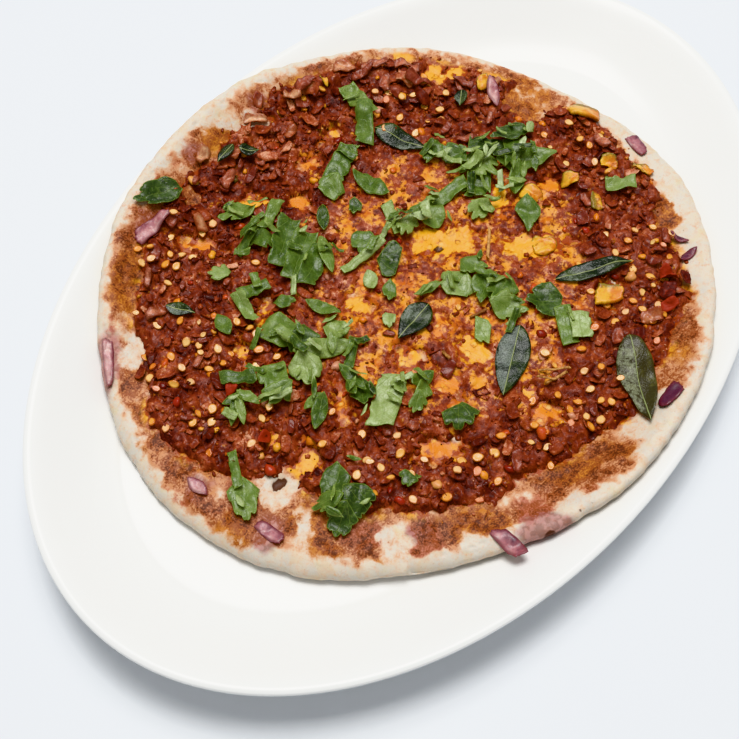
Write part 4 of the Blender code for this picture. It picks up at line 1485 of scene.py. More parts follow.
@dataclass
class Swarm:
    """Many small pieces of one kind, joined into one mesh."""

    name: str
    shapes: Array
    faces: Sequence[Sequence[int]]
    places: Array
    turns: Array
    marks: Array

    def build(self, finish: Material) -> None:
        """Make the joined mesh; the marks hold one row to a point of each piece.

        Args:
            finish: Its material.
        """
        verts = np.einsum("nij,nvj->nvi", self.turns, self.shapes) + self.places[:, None, :]
        count, points = verts.shape[:2]
        faces = (np.arange(count)[:, None, None] * points + np.array(self.faces)[None]).reshape(
            -1, len(self.faces[0]))
        make_piece(self.name, verts.reshape(-1, 3), faces.tolist(), finish,
                   marks={"paste": self.marks.reshape(-1, 3)})


@dataclass
class Strewing:
    """Where seeds, crumbs and flakes come to lie."""

    layers: Layers
    ground: Raster

    def places(self, count: int, seed: int, spacing: float, share: Callable[[Array, Array], Array],
               fixed: Sequence[tuple[float, float]] = ()) -> Array:
        """Loose places on the masala.

        Args:
            count: How many to find.
            seed: Picks other places.
            spacing: Least distance between two of them.
            share: How likely each place is, from 0 to 1.
            fixed: Places that are kept first.

        Returns:
            One row of X and Y to a place.
        """
        draw = np.random.default_rng(seed)
        found = [tuple(place) for place in fixed]
        taken: dict[tuple[int, int], list[tuple[float, float]]] = {}
        cell = max(spacing, 0.5)

        def key(x: float, y: float) -> tuple[int, int]:
            """Cell that a place lies in."""
            return int(x // cell), int(y // cell)

        for place in found:
            taken.setdefault(key(*place), []).append(place)
        while len(found) < count:
            xs, ys = draw.uniform(-110, 110, 4000), draw.uniform(-102, 104, 4000)
            kept = draw.uniform(0, 1, 4000) < share(xs, ys)
            for x, y in zip(xs[kept], ys[kept]):
                column, row = key(x, y)
                near = (other for i in (-1, 0, 1) for j in (-1, 0, 1)
                        for other in taken.get((column + i, row + j), ()))
                if all(math.dist((x, y), other) > spacing for other in near):
                    taken.setdefault((column, row), []).append((x, y))
                    found.append((x, y))
                if len(found) == count:
                    break
        return np.array(found)

    def on_ground(self, places: Array, rise: Array, tops: Array) -> Array:
        """Places with their heights, a rise above the ground, which then goes up to their tops.

        Args:
            places: X and Y of each place.
            rise: Height of the piece's middle above the ground.
            tops: Height of its top above the ground.

        Returns:
            X, Y and Z of each middle.
        """
        height = self.ground.at(places[:, 0], places[:, 1])
        self.ground.raise_to(places[:, 0], places[:, 1], height + tops)
        return np.column_stack((places, height + rise))


@dataclass
class Crumbs:
    """Uneven lumps half sunk in the paste: crumbs of it, or larger bits of vegetable."""

    strewing: Strewing
    name: str = "chilli_crumbs"
    seed: int = 101
    spacing: float = 0.9
    count: int = 2450
    size: tuple[float, float] = (0.6, 2.4)

    def build(self, finish: Material) -> None:
        """Make the crumbs, more of them where the paste is craggy.

        Args:
            finish: Their material.
        """
        layers = self.strewing.layers
        draw = np.random.default_rng(self.seed)
        ball, faces = icosphere()

        def share(x: Array, y: Array) -> Array:
            """Crumbs lie on the paste, mostly where it is craggy, and a few just off it."""
            cover = layers.cover(x, y)
            return (0.12 + 0.88 * (cover > 0.2)) * (cover > -3.5) * layers.craggy(x, y)

        places = self.strewing.places(self.count, self.seed + 1, self.spacing, share)
        size = draw.uniform(0, 1, self.count) ** 2 * (self.size[1] - self.size[0]) + self.size[0]
        stretch = np.column_stack((np.ones(self.count), draw.uniform(0.55, 0.95, self.count),
                                   draw.uniform(0.4, 0.75, self.count)))
        uneven = draw.uniform(0.72, 1.22, (self.count, len(ball), 1))
        shapes = ball[None] * uneven * (size[:, None] * stretch)[:, None, :] * 0.5
        tone = np.repeat(draw.uniform(0.0, 1.0, self.count)[:, None], len(ball), 1)
        oil = np.repeat((0.6 * draw.uniform(0, 1, self.count) ** 4)[:, None], len(ball), 1)
        marks = np.stack((tone, oil, np.zeros_like(tone)), 2)
        turns = turned(draw.uniform(0, math.tau, self.count), draw.normal(0, 0.4, self.count),
                       draw.uniform(0, math.tau, self.count))
        Swarm(self.name, shapes, faces, self.strewing.on_ground(places, size * 0.06, size * 0.5), turns,
              marks).build(finish)


@dataclass
class Flakes:
    """Shards of chilli skin: thin, bent and lying at all angles."""

    strewing: Strewing
    count: int = 800
    seed: int = 111
    spacing: float = 1.3
    length: tuple[float, float] = (1.6, 4.8)
    columns: int = 6
    rows: int = 4
    thick: float = 0.4

    def build(self, finish: Material) -> None:
        """Make the shards.

        Args:
            finish: Their material.
        """
        layers = self.strewing.layers
        draw = np.random.default_rng(self.seed)

        def share(x: Array, y: Array) -> Array:
            """Shards lie on the paste, mostly where it is craggy."""
            return (layers.cover(x, y) > 1.0) * layers.craggy(x, y) ** 1.5

        places = self.strewing.places(self.count, self.seed + 1, self.spacing, share)
        u, v = np.meshgrid(np.linspace(-1, 1, self.columns), np.linspace(-1, 1, self.rows))
        u, v = u.ravel()[None], v.ravel()[None]
        least, most = self.length
        length = draw.uniform(0, 1, (self.count, 1)) ** 1.6 * (most - least) + least
        width = length * draw.uniform(0.45, 0.95, (self.count, 1))
        taper = draw.uniform(0.1, 0.75, (self.count, 1))
        taper = 1 - taper * (u * draw.choice((-1, 1), (self.count, 1)) + 1) / 2
        skew = draw.uniform(-0.35, 0.35, (self.count, 1)) * u
        jag = draw.normal(0, 0.08, (self.count, u.shape[1], 2))
        x = length / 2 * (u + jag[:, :, 0])
        y = width / 2 * (v * taper + skew + jag[:, :, 1])
        bend = draw.uniform(-0.5, 0.9, (self.count, 1)) * width / 2 * v ** 2
        curl = draw.uniform(-0.25, 0.35, (self.count, 1)) * length / 2 * u ** 2
        z = bend + curl - (bend + curl).mean(1, keepdims=True)
        upper = np.stack((x, y, z + self.thick / 2), 2)
        lower = np.stack((x, y, z - self.thick / 2), 2)
        tone = np.repeat(draw.uniform(0.0, 0.9, self.count)[:, None], 2 * u.shape[1], 1)
        marks = np.stack((tone, np.zeros_like(tone), np.zeros_like(tone)), 2)
        turns = turned(draw.uniform(0, math.tau, self.count), draw.normal(0.2, 0.35, self.count),
                       draw.uniform(0, math.tau, self.count))
        Swarm("chilli_flakes", np.concatenate((upper, lower), 1), self._faces(),
              self.strewing.on_ground(places, np.full(self.count, 0.1), 0.25 * length[:, 0]), turns,
              marks).build(finish)

    def _faces(self) -> list[tuple[int, int, int, int]]:
        """Faces of one shard: its upper side, its underside and the wall round it.

        Returns:
            The faces' point numbers.
        """
        columns, rows, half = self.columns, self.rows, self.columns * self.rows
        upper = [(r * columns + c, r * columns + c + 1, (r + 1) * columns + c + 1, (r + 1) * columns + c)
                 for r in range(rows - 1) for c in range(columns - 1)]
        lower = [tuple(i + half for i in reversed(face)) for face in upper]
        rim = ([c for c in range(columns)] + [r * columns + columns - 1 for r in range(1, rows)]
               + [(rows - 1) * columns + c for c in range(columns - 2, -1, -1)]
               + [r * columns for r in range(rows - 2, 0, -1)])
        walls = [(b, a, a + half, b + half) for a, b in zip(rim, rim[1:] + rim[:1])]
        return upper + lower + walls


# Chilli seeds whose places can be read from the picture, in millimetres.
SEEN_SEEDS = (
    (8, 81), (-42, 71), (-41, 67), (-44, 75), (-47, 66), (-43, 82), (-26, 80), (60, 57), (64, 54), (57, 44),
    (67, 40), (75, 36), (-64, 11), (-55, -18), (-61, -25), (-77, 8), (84, -15), (84, -19), (79, -24),
    (73, -16), (80, -3), (47, -57), (48, -63), (36, -63), (37, -71), (-61, 59), (-69, 42), (-71, 37),
    (-77, 49), (-78, 28), (-82, 27), (-78, 23), (-88, 33), (-87, 17), (56, -50), (49, -49), (57, -65),
    (25, -77), (26, -62), (31, -63), (19, -58), (4, -63), (7, -67), (-1, -68), (-7, -67), (-4, -73),
    (-11, -72), (-22, -64), (-30, -71), (-32, -54), (-37, -55), (-45, -48), (-49, -49), (-49, -27),
    (-64, -43), (-52, -59), (-61, -24), (49, 73),
)
# Where seeds lie thickest.
SEEDY_PLACES = blots(
    (-68, 45, 26, 22), (45, -60, 26, 22), (-10, -66, 16, 22), (-40, 74, 14, 14), (62, 46, 18, 14),
    (-58, -45, 20, 12), (80, -18, 12, 10), (-62, 15, 12, 12),
)


@dataclass
class Seeds:
    """Flat chilli seeds, round with a small beak, thicker at the rim."""

    strewing: Strewing
    count: int = 175
    seed: int = 121
    spacing: float = 3.2
    size: tuple[float, float] = (2.6, 3.5)
    thick: float = 0.75
    sides: int = 16

    def build(self, finish: Material) -> None:
        """Make the seeds, the seen ones in their places and the rest thickest where they are seen.

        Args:
            finish: Their material.
        """
        layers = self.strewing.layers
        draw = np.random.default_rng(self.seed)

        def share(x: Array, y: Array) -> Array:
            """Seeds lie on the paste and here and there just off it."""
            near = patchy(SEEDY_PLACES, x, y, 6.0)
            return (layers.cover(x, y) > 0.5) * (0.06 + 0.94 * near) * (0.2 + 0.8 * layers.craggy(x, y))

        places = self.strewing.places(self.count, self.seed + 1, self.spacing, share, SEEN_SEEDS)
        size = draw.uniform(*self.size, self.count)
        size = size * np.where(draw.uniform(0, 1, self.count) < 0.15, 0.7, 1)
        size[:len(SEEN_SEEDS)] = draw.uniform(2.8, 3.4, len(SEEN_SEEDS))
        profile = ((0.0, 0.30), (0.55, 0.34), (0.86, 0.5), (1.0, 0.22), (1.0, -0.22), (0.86, -0.5),
                   (0.55, -0.34), (0.0, -0.30))
        turn = np.linspace(0, math.tau, self.sides, endpoint=False)
        beak = 1 + 0.16 * np.exp(-((turn - math.pi) / 0.35) ** 2)
        beak = beak - 0.1 * np.exp(-((turn - 2.35) / 0.3) ** 2)
        template = np.array([(r * b * math.cos(t), 0.88 * r * b * math.sin(t), z)
                             for r, z in profile for t, b in zip(turn, beak)])
        rim = np.repeat([r for r, _ in profile], self.sides)
        faces = ring_faces(len(profile), self.sides)
        sizes = np.column_stack((size / 2, size / 2, np.full(self.count, self.thick)))
        shapes = template[None] * sizes[:, None]
        shapes[:, :, 1] *= draw.uniform(0.82, 1.0, (self.count, 1))
        tone = np.repeat(draw.choice((0.05, 0.3, 0.5, 0.7, 0.85, 1.0), self.count,
                                     p=(0.06, 0.18, 0.3, 0.24, 0.12, 0.1))[:, None], len(template), 1)
        marks = np.stack((tone, np.repeat(rim[None], self.count, 0), np.zeros_like(tone)), 2)
        turns = turned(draw.uniform(0, math.tau, self.count), np.abs(draw.normal(0.1, 0.3, self.count)),
                       draw.uniform(0, math.tau, self.count))
        Swarm("chilli_seeds", shapes, [face[::-1] for face in faces],
              self.strewing.on_ground(places, np.full(self.count, 0.45), np.full(self.count, 0.9)), turns,
              marks).build(finish)


# Leaves and slices


class Cut(Enum):
    """Outlines of the pieces that lie on the masala."""

    FAN = "lobed leaflet cut at its base"
    STRIP = "strip with cut ends"
    BLADE = "slim leaf"
    CURRY = "curry leaf"
    CHUNK = "diced piece"
    WEDGE = "uneven slice or scrap"


FAN, STRIP, BLADE, CURRY, CHUNK, WEDGE = Cut


@dataclass(frozen=True)
class Piece:
    """One cut piece: its outline, place, size, tone and the rise of its tip, as in the model's solids."""

    cut: Cut
    x: float
    y: float
    turn: float
    length: float
    width: float
    tone: float = 0.5
    rise: float = 1.6

    def seed(self) -> int:
        """Whole number that differs from piece to piece."""
        return int(abs(self.x * 13.7 + self.y * 7.3 + self.turn)) + 1

    def outline(self) -> Outline:
        """Outline in millimetres along and across the piece."""
        makers = {FAN: self._fan, STRIP: self._strip, BLADE: self._blade, CURRY: self._curry,
                  CHUNK: self._chunk, WEDGE: self._wedge}
        return [(s * self.length, t * self.width) for s, t in makers[self.cut]()]

    def _fan(self) -> Outline:
        """Toothed lobes that spread from a narrow base, often with a straight cut through them.

        Returns:
            The points, as shares of its length and width.
        """
        draw = np.random.default_rng(self.seed())
        start, notch, lobes = draw.uniform(0, math.tau), draw.uniform(0.14, 0.34), draw.choice((1.5, 2.0))
        points = [(-0.5, 0.0)]
        for u in np.linspace(-1, 1, 66):
            lobe = abs(math.cos(lobes * math.pi * u)) ** 0.5
            tooth = abs(math.sin(10 * u + start)) ** 0.6
            reach = 0.94 - notch * (1 - lobe) + 0.06 * tooth
            points.append((reach * math.cos(1.25 * u) - 0.46, 0.54 * reach * math.sin(1.25 * u)))
        for chance in (0.9, 0.5):
            turn, reach = draw.uniform(0, math.tau), draw.uniform(0.24, 0.38)
            if draw.uniform() < chance:
                points = cut_off(points, math.cos(turn), math.sin(turn), reach)
        return points

    def _strip(self) -> Outline:
        """Strip with one straight cut side, one toothed side and slanting ends.

        Returns:
            The points, as shares of its length and width.
        """
        draw = np.random.default_rng(self.seed())
        start, lean, side = draw.uniform(0, math.tau), draw.uniform(-0.12, 0.12), draw.choice((-1, 1))
        steps = np.linspace(-0.5, 0.5, 30)
        teeth = 0.13 * np.abs(np.sin(8 * steps + start)) ** 0.6 + 0.05 * np.abs(np.sin(23 * steps + start))
        straight = [(s, -0.47 - 0.03 * math.sin(5 * s + start)) for s in steps]
        toothed = [(s + lean, 0.36 + t) for s, t in zip(steps[::-1], teeth)]
        return [(s, side * t) for s, t in straight + toothed]

    def _wedge(self) -> Outline:
        """Slice of onion: uneven four-sided piece with a curved back.

        Returns:
            The points, as shares of its length and width.
        """
        draw = np.random.default_rng(self.seed())
        corners = [(s + draw.uniform(-0.06, 0.06), t * draw.uniform(0.55, 1.0))
                   for s, t in ((-0.5, -0.5), (0.5, -0.42), (0.46, 0.4), (-0.42, 0.5))]
        points = []
        for (s, t), (to_s, to_t) in zip(corners, corners[1:] + corners[:1]):
            for share in np.linspace(0, 1, 9)[:-1]:
                bulge = 1 + 0.2 * math.sin(math.pi * share) + draw.uniform(-0.07, 0.07)
                points.append(((s + (to_s - s) * share) * bulge, (t + (to_t - t) * share) * bulge))
        return points

    def _blade(self) -> Outline:
        """Slim leaf that narrows to both ends, with a few teeth towards its tip.

        Returns:
            The points, as shares of its length and width.
        """
        draw = np.random.default_rng(self.seed())
        start = draw.uniform(0, math.tau)
        side = []
        for s in np.linspace(0.02, 0.98, 26):
            tooth = 0.05 * abs(math.sin(13 * s + start)) * s
            side.append((s - 0.5, 0.5 * math.sin(math.pi * s) ** 0.75 - tooth * math.sin(math.pi * s)))
        return [(-0.5, 0.0)] + [(s, -t) for s, t in side] + [(0.5, 0.0)] + side[::-1]

    def _curry(self) -> Outline:
        """Oval leaf that narrows to a point."""
        side = [(s - 0.5, 0.5 * math.sin(math.pi * s ** 0.74) ** 0.9) for s in np.linspace(0.02, 0.98, 34)]
        return [(-0.5, 0.0)] + [(s, -t) for s, t in side] + [(0.5, 0.0)] + side[::-1]

    def _chunk(self) -> Outline:
        """Diced piece with round corners.

        Returns:
            The points, as shares of its length and width.
        """
        points = []
        for turn in np.linspace(0, math.tau, 40, endpoint=False):
            reach = 0.5 / (abs(math.cos(turn)) ** 2.7 + abs(math.sin(turn)) ** 2.7) ** (1 / 2.7)
            reach *= 1 - 0.09 * math.cos(3 * turn + self.x)
            points.append((reach * math.cos(turn), reach * math.sin(turn)))
        return points


def cut_off(outline: Outline, s: float, t: float, reach: float) -> Outline:
    """Outline with what lies past a straight line cut away.

    Args:
        outline: The outline's points.
        s: Along part of the direction that the line faces.
        t: Across part of that direction.
        reach: Distance of the line from the middle.

    Returns:
        The points that are left, with new ones where the line cuts.
    """
    size = math.hypot(s, t)
    past = [(p[0] * s + p[1] * t) / size - reach for p in outline]
    left = []
    for i, (point, over) in enumerate(zip(outline, past)):
        before, over_before = outline[i - 1], past[i - 1]
        if (over < 0) != (over_before < 0):
            share = over_before / (over_before - over)
            left.append(tuple(a + share * (b - a) for a, b in zip(before, point)))
        if over < 0:
            left.append(point)
    return left


@dataclass(frozen=True)
class SlabStyle:
    """How a kind of piece is made: thickness, point spacing, bends and rounding."""

    thick: float
    spacing: float
    edge: float
    ripple: float
    fold: float
    clearance: float = 0.12
    sag: float = 2.4


HERB_STYLE = SlabStyle(0.32, 0.75, 0.25, 0.85, 0.12)
CURRY_STYLE = SlabStyle(0.45, 0.8, 0.3, 0.3, 0.2)
ONION_STYLE = SlabStyle(1.1, 0.5, 1.1, 0.6, 0.0, -0.8, 1.2)
BIT_STYLE = SlabStyle(0.8, 0.45, 0.9, 1.3, 0.0, -0.65, 0.9)
STALK_STYLE = SlabStyle(0.7, 0.5, 0.35, 0.5, 0.0)
SKIN_STYLE = SlabStyle(0.6, 0.45, 0.4, 1.4, 0.1, -0.3, 1.2)
SCRAP_STYLE = SlabStyle(0.45, 0.45, 0.25, 0.9, 0.1, -0.15, 0.9)
PEPPER_STYLE = SlabStyle(2.2, 0.5, 0.6, 0.3, 0.0, -0.5)


@dataclass
class Slab:
    """Thin or thick piece that lies bent over what is under it."""

    piece: Piece
    style: SlabStyle

    def mesh(self, support: Raster) -> Mesh:
        """Make the piece's mesh on its support.

        Args:
            support: Heights that it rests on.

        Returns:
            Its points, its faces, the along, across and tone marks of its points and how far each
            lies from the edge.
        """
        outline = self._even(self.piece.outline())
        inner = self._inner(outline)
        points = [Vector(p) for p in (*outline, *inner)]
        verts, _, tris, _, _, _ = delaunay_2d_cdt(points, [], [list(range(len(outline)))], 1, 1e-5)
        flat = np.array([tuple(v) for v in verts])
        tris = [self._upward(flat, tri) for tri in tris]
        turn = math.radians(self.piece.turn)
        x = self.piece.x + flat[:, 0] * math.cos(turn) - flat[:, 1] * math.sin(turn)
        y = self.piece.y + flat[:, 0] * math.sin(turn) + flat[:, 1] * math.cos(turn)
        low = support.at(x, y) + self.style.clearance + self._rise(flat)
        from_edge = self._from_edge(flat, outline)
        round_off = np.sqrt(np.clip(1 - (1 - np.clip(from_edge / self.style.edge, 0, 1)) ** 2, 0, 1))
        half = self.style.thick / 2
        upper = np.column_stack((x, y, low + half * (1.25 + 0.75 * round_off)))
        lower = np.column_stack((x, y, low + half * (0.75 - 0.75 * round_off)))
        count = len(flat)
        sides = {(a, b) for tri in tris for a, b in zip(tri, tri[1:] + tri[:1])}
        walls = [(b, a, a + count, b + count) for a, b in sorted(sides) if (b, a) not in sides]
        faces = tris + [tuple(i + count for i in reversed(tri)) for tri in tris] + walls
        base = -0.5 * self.piece.length if self.piece.cut in (FAN, STRIP) else 0.0
        seed = np.array(self.piece.seed())
        tone = self.piece.tone + 0.5 * (scatter(seed, seed * 3, 7) - 0.5)
        marks = np.column_stack((flat[:, 0] - base, flat[:, 1], np.full(count, tone)))
        return np.vstack((upper, lower)), faces, np.vstack((marks, marks)), np.tile(from_edge, 2)

    def _even(self, outline: Outline) -> Outline:
        """Outline with its points spread evenly, without ones that crowd each other.

        Args:
            outline: The outline.

        Returns:
            Its evenly spaced points.
        """
        spaced = []
        for point in outline:
            if all(math.dist(point, other) > 0.12 for other in spaced[-1:] + spaced[:1]):
                spaced.append(point)
        even = []
        for start, end in zip(spaced, spaced[1:] + spaced[:1]):
            count = max(1, math.ceil(math.dist(start, end) / self.style.spacing))
            even += [tuple(a + (b - a) * k / count for a, b in zip(start, end)) for k in range(count)]
        return even

    def _inner(self, outline: Outline) -> Outline:
        """Loose triangular grid of points inside the outline.

        Args:
            outline: The outline.

        Returns:
            The points inside it.
        """
        step = self.style.spacing
        corners = np.array(outline)
        low, high = corners.min(0), corners.max(0)
        points = np.array([(s, t) for number, t in enumerate(np.arange(low[1], high[1], step * 0.87))
                           for s in np.arange(low[0] + 0.5 * step * (number % 2), high[0], step)])
        jitter = 0.16 * step
        key = np.arange(len(points))
        points = points + jitter * np.column_stack((scatter(key, key * 3, 5), scatter(key, key * 7, 6)))
        inside = self._inside(points, corners) & (self._from_edge(points, outline) > 0.5 * step)
        return [tuple(p) for p in points[inside]]

    @staticmethod
    def _inside(points: Array, corners: Array) -> Array:
        """Whether each point lies inside a polygon, by counting the sides that it sees.

        Args:
            points: The points.
            corners: The polygon's corners.

        Returns:
            True for each one inside.
        """
        inside = np.zeros(len(points), bool)
        for (ax, ay), (bx, by) in zip(corners, np.roll(corners, -1, 0)):
            crosses = (ay > points[:, 1]) != (by > points[:, 1])
            rise = by - ay if by != ay else 1e-9
            inside ^= crosses & (points[:, 0] < (bx - ax) * (points[:, 1] - ay) / rise + ax)
        return inside

    @staticmethod
    def _from_edge(points: Array, outline: Outline) -> Array:
        """Distance of each point from the outline.

        Args:
            points: The points.
            outline: The outline.

        Returns:
            The distances.
        """
        start = np.array(outline)[None]
        along = np.roll(np.array(outline), -1, 0)[None] - start
        offset = points[:, None, :] - start
        share = np.clip((offset * along).sum(2) / np.maximum((along ** 2).sum(2), 1e-9), 0, 1)
        return np.sqrt(((offset - share[..., None] * along) ** 2).sum(2)).min(1)

    @staticmethod
    def _upward(flat: Array, tri: Sequence[int]) -> tuple[int, int, int]:
        """A triangle's points in the order that makes it face up.

        Args:
            flat: All points.
            tri: The triangle's point numbers.

        Returns:
            The numbers in that order.
        """
        a, b, c = (flat[i] for i in tri)
        turned_left = (b[0] - a[0]) * (c[1] - a[1]) - (b[1] - a[1]) * (c[0] - a[0]) > 0
        return tuple(tri) if turned_left else tuple(reversed(tri))

    def _rise(self, flat: Array) -> Array:
        """How far each point stands off the support: ripples, a fold and a raised tip.

        Args:
            flat: The points, along and across the piece.

        Returns:
            The distances.
        """
        piece, style = self.piece, self.style
        s, t = flat[:, 0] / piece.length, flat[:, 1] / piece.width
        outward = np.clip(np.hypot(s, t) * 2, 0, 1) ** 2
        seed = piece.seed()
        ripple = style.ripple * outward * waves(flat[:, 0] / 3.6 + seed, flat[:, 1] / 3.6, seed)
        ripple = ripple + 0.18 * style.ripple * waves(flat[:, 0] / 1.7, flat[:, 1] / 1.7 + seed, seed + 2)
        buckle = 1.5 * style.ripple * np.abs(waves(flat[:, 0] / 6.0, flat[:, 1] / 6.0 + seed, seed + 1))
        fold = style.fold * piece.width * np.abs(t) * (1 if seed % 3 else -0.4)
        return ripple + buckle + np.maximum(fold, 0) + piece.rise * np.maximum(s, 0)


# Each row is a cut, then X, Y, turn, length, width, tone and rise of the tip.
ONION_SLICES = {
    "left": (WEDGE, -34, 83, -10, 14, 5.5, 0.55),
    "far_left": (WEDGE, -80.5, 63, -137, 14, 4, 0.3),
    "low_left": (BLADE, -97, 13.5, -97, 8.5, 4.5, 0.55),
    "front": (WEDGE, -96, -13, -93, 9, 5, 0.4),
    "near": (WEDGE, -59, -73.8, -107, 10.5, 6.5, 0.6),
    "far_right": (WEDGE, 97, -32, -121, 9, 6, 0.8),
    "right_upper": (BLADE, 67.5, -63.5, -84, 7, 3, 0.95),
    "right_lower": (BLADE, 62.5, -69.5, -16, 7.5, 3.4, 0.95),
    "near_right": (WEDGE, 8.5, -90, 174, 9, 4.5, 1),
    "back": (BLADE, 85, 22, -136, 14, 4.6, 0.6),
}
PEPPER_PIECES = {
    "far": (WEDGE, 98, -9.5, -68, 10, 9.5, 0.6, 0.5),
    "right": (WEDGE, 34.5, -55, -60, 8.5, 10, 0.45, 0.5),
}
# Small pieces that the model does not hold as parts of their own.
STALKS = (
    (STRIP, -16.2, -23.8, -115, 4.3, 1, 0.5, 0.5), (STRIP, 29.9, -11, -151, 12.5, 1.1, 0.2, 0.8),
    (STRIP, 2.7, -4.7, -22, 8.8, 0.9, 0.4, 0.5), (STRIP, 3.4, -23.6, -27, 6.5, 1, 0.6, 0.5),
    (STRIP, -1.3, -55.4, -59, 9.5, 0.8, 0.3, 0.5), (STRIP, -4.2, -57.3, -30, 7.6, 0.9, 0.5, 0.5),
    (STRIP, -6, -54.5, -80, 6, 0.7, 0.4, 0.5),
)
CHILLI_SKINS = (
    (WEDGE, 22, 79, -40, 5.8, 4, 0.8, 1), (WEDGE, 46, 76, -70, 6.1, 4.3, 0.95, 1),
    (WEDGE, 36, 69, -90, 6.5, 4.3, 0.9, 1), (WEDGE, 14, 71, -60, 5.8, 4.3, 0.7, 0.8),
    (WEDGE, 72, 52, -70, 5.8, 4.3, 0.8, 0.8), (WEDGE, -77, 52.5, 20, 4, 3.6, 0.2, 0.8),
    (WEDGE, 54, 70, 20, 6.5, 4.3, 0.2, 0.8), (WEDGE, -66, 30, 60, 6.5, 5, 0.2, 0.5),
    (WEDGE, 0, -60, 10, 6.5, 4.3, 0.2, 0.8), (WEDGE, 68, 42, 80, 5.8, 4.3, 0.2, 0.6),
)
RED_SKINS = (
    (WEDGE, 19, -76, -124, 6.8, 5.1, 0.3, 0.8), (WEDGE, 44, -71, 6, 6, 5.1, 0.6, 1),
    (WEDGE, 50, -68, 70, 6, 4.7, 0.3, 1.2), (WEDGE, 14, -71, -100, 6, 4.2, 0.7, 0.8),
    (WEDGE, 52, -73, 30, 5.5, 4.2, 0.5, 1), (WEDGE, 39, -74, -30, 5.1, 4.2, 0.2, 0.8),
    (WEDGE, 24, -71, 20, 5.1, 3.8, 0.6, 1), (WEDGE, -65, 25, -55, 3.4, 7.6, 0.1, 0.5),
    (WEDGE, -73, 6, 20, 5.1, 3.4, 0.2, 0.5),
)
# Maroon slices of onion, soaked in oil, along the far rim and here and there.
SOAKED_SLICES = (
    (WEDGE, 71, 65, -40, 9.4, 5, 0.3, 0.6), (WEDGE, 78, 55, -62, 8.6, 5, 0.2, 0.6),
    (WEDGE, 64, 66, -20, 7.9, 4.3, 0.6, 0.6), (WEDGE, 74, 48, -75, 8.6, 4.3, 0.5, 0.6),
    (WEDGE, 84, 34, -80, 7.2, 5, 0.6, 0.6), (WEDGE, 66, 57, 30, 6.5, 4.3, 0.4, 0.5),
    (WEDGE, 46, 78, -20, 7.9, 4.3, 0.7, 0.5), (WEDGE, 88, -22, 70, 6.5, 4.3, 0.4, 0.5),
    (WEDGE, -58, 62, -30, 6.5, 4.3, 0.5, 0.5), (WEDGE, 20, -66, 30, 6.5, 4.3, 0.4, 0.5),
    (WEDGE, -2, 76, 10, 7.2, 4.3, 0.6, 0.5), (WEDGE, -36, -62, 40, 6.5, 4.3, 0.5, 0.5),
)
# Yellow and orange bits of pepper.
PEPPER_BITS = (
    (WEDGE, 82, -28, -55, 5.4, 6.4, 0.5, 0.4), (WEDGE, 87, -39, -40, 6.5, 6.5, 0.8, 0.4),
    (WEDGE, 67, -21, -60, 5, 6.5, 0.3, 0.4), (WEDGE, 64, -33, 35, 6, 3.6, 0.9, 0.4),
    (WEDGE, 52, 74, 30, 3.8, 3.4, 0.1, 0.4), (WEDGE, 87, 28, -55, 4, 6.5, 0.2, 0.4),
    (CHUNK, 40, -27, -55, 8.5, 7.5, -0.5, 0.2), (CHUNK, 55, -12.5, -55, 8, 6.5, -0.3, 0.2),
)
ONION_BITS = (
    (WEDGE, 63, 73, -50, 6.8, 6, 0.35, 0.3), (WEDGE, 89, 24, -30, 4.5, 3.8, 0.1, 0.3),
    (WEDGE, -0.6, 88, 20, 6, 5.2, 0.15, 0.3), (WEDGE, 24, 84, -50, 7.5, 3.8, 0, 0.3),
    (WEDGE, 39, 79, -50, 6, 4.5, 0.3, 0.3), (WEDGE, 32.4, -71, -49, 6, 4.5, 0.3, 0.5),
    (WEDGE, -22, 72, 60, 4.5, 4.1, 0.3, 0.3), (WEDGE, 8, 80, 0, 5.2, 4.5, 0.5, 0.3),
    (WEDGE, 30, 87, 30, 4.5, 3.8, 0.9, 0.3), (WEDGE, 27, 71, 10, 5.2, 4.5, 0.45, 0.3),
)
CURRY_LEAVES = {
    "back": (CURRY, 48.5, 38, -78, 20, 8.5, 0.1),
    "slim": (CURRY, 39, -46.5, -43, 26.5, 6.5, 0.2),
    "broad": (CURRY, -6, -42, -160, 28, 11, 0.6),
    "folded": (CURRY, -11.5, -8, 178, 17, 9.5, 0.25),
    "right": (CURRY, 9, -79, -140, 32, 12, 0.3),
    "scrap_far": (CURRY, 4.5, 82, -176, 9.5, 4.4, 0.1),
    "scrap_back": (CURRY, 11, 76.5, -52, 7, 5, 0.2),
    "scrap_left": (CURRY, -52.5, 56, -74, 10.5, 4.6, 0.4),
    "scrap_top": (CURRY, 75.5, 30, -152, 8.5, 4.6, 0.1),
}
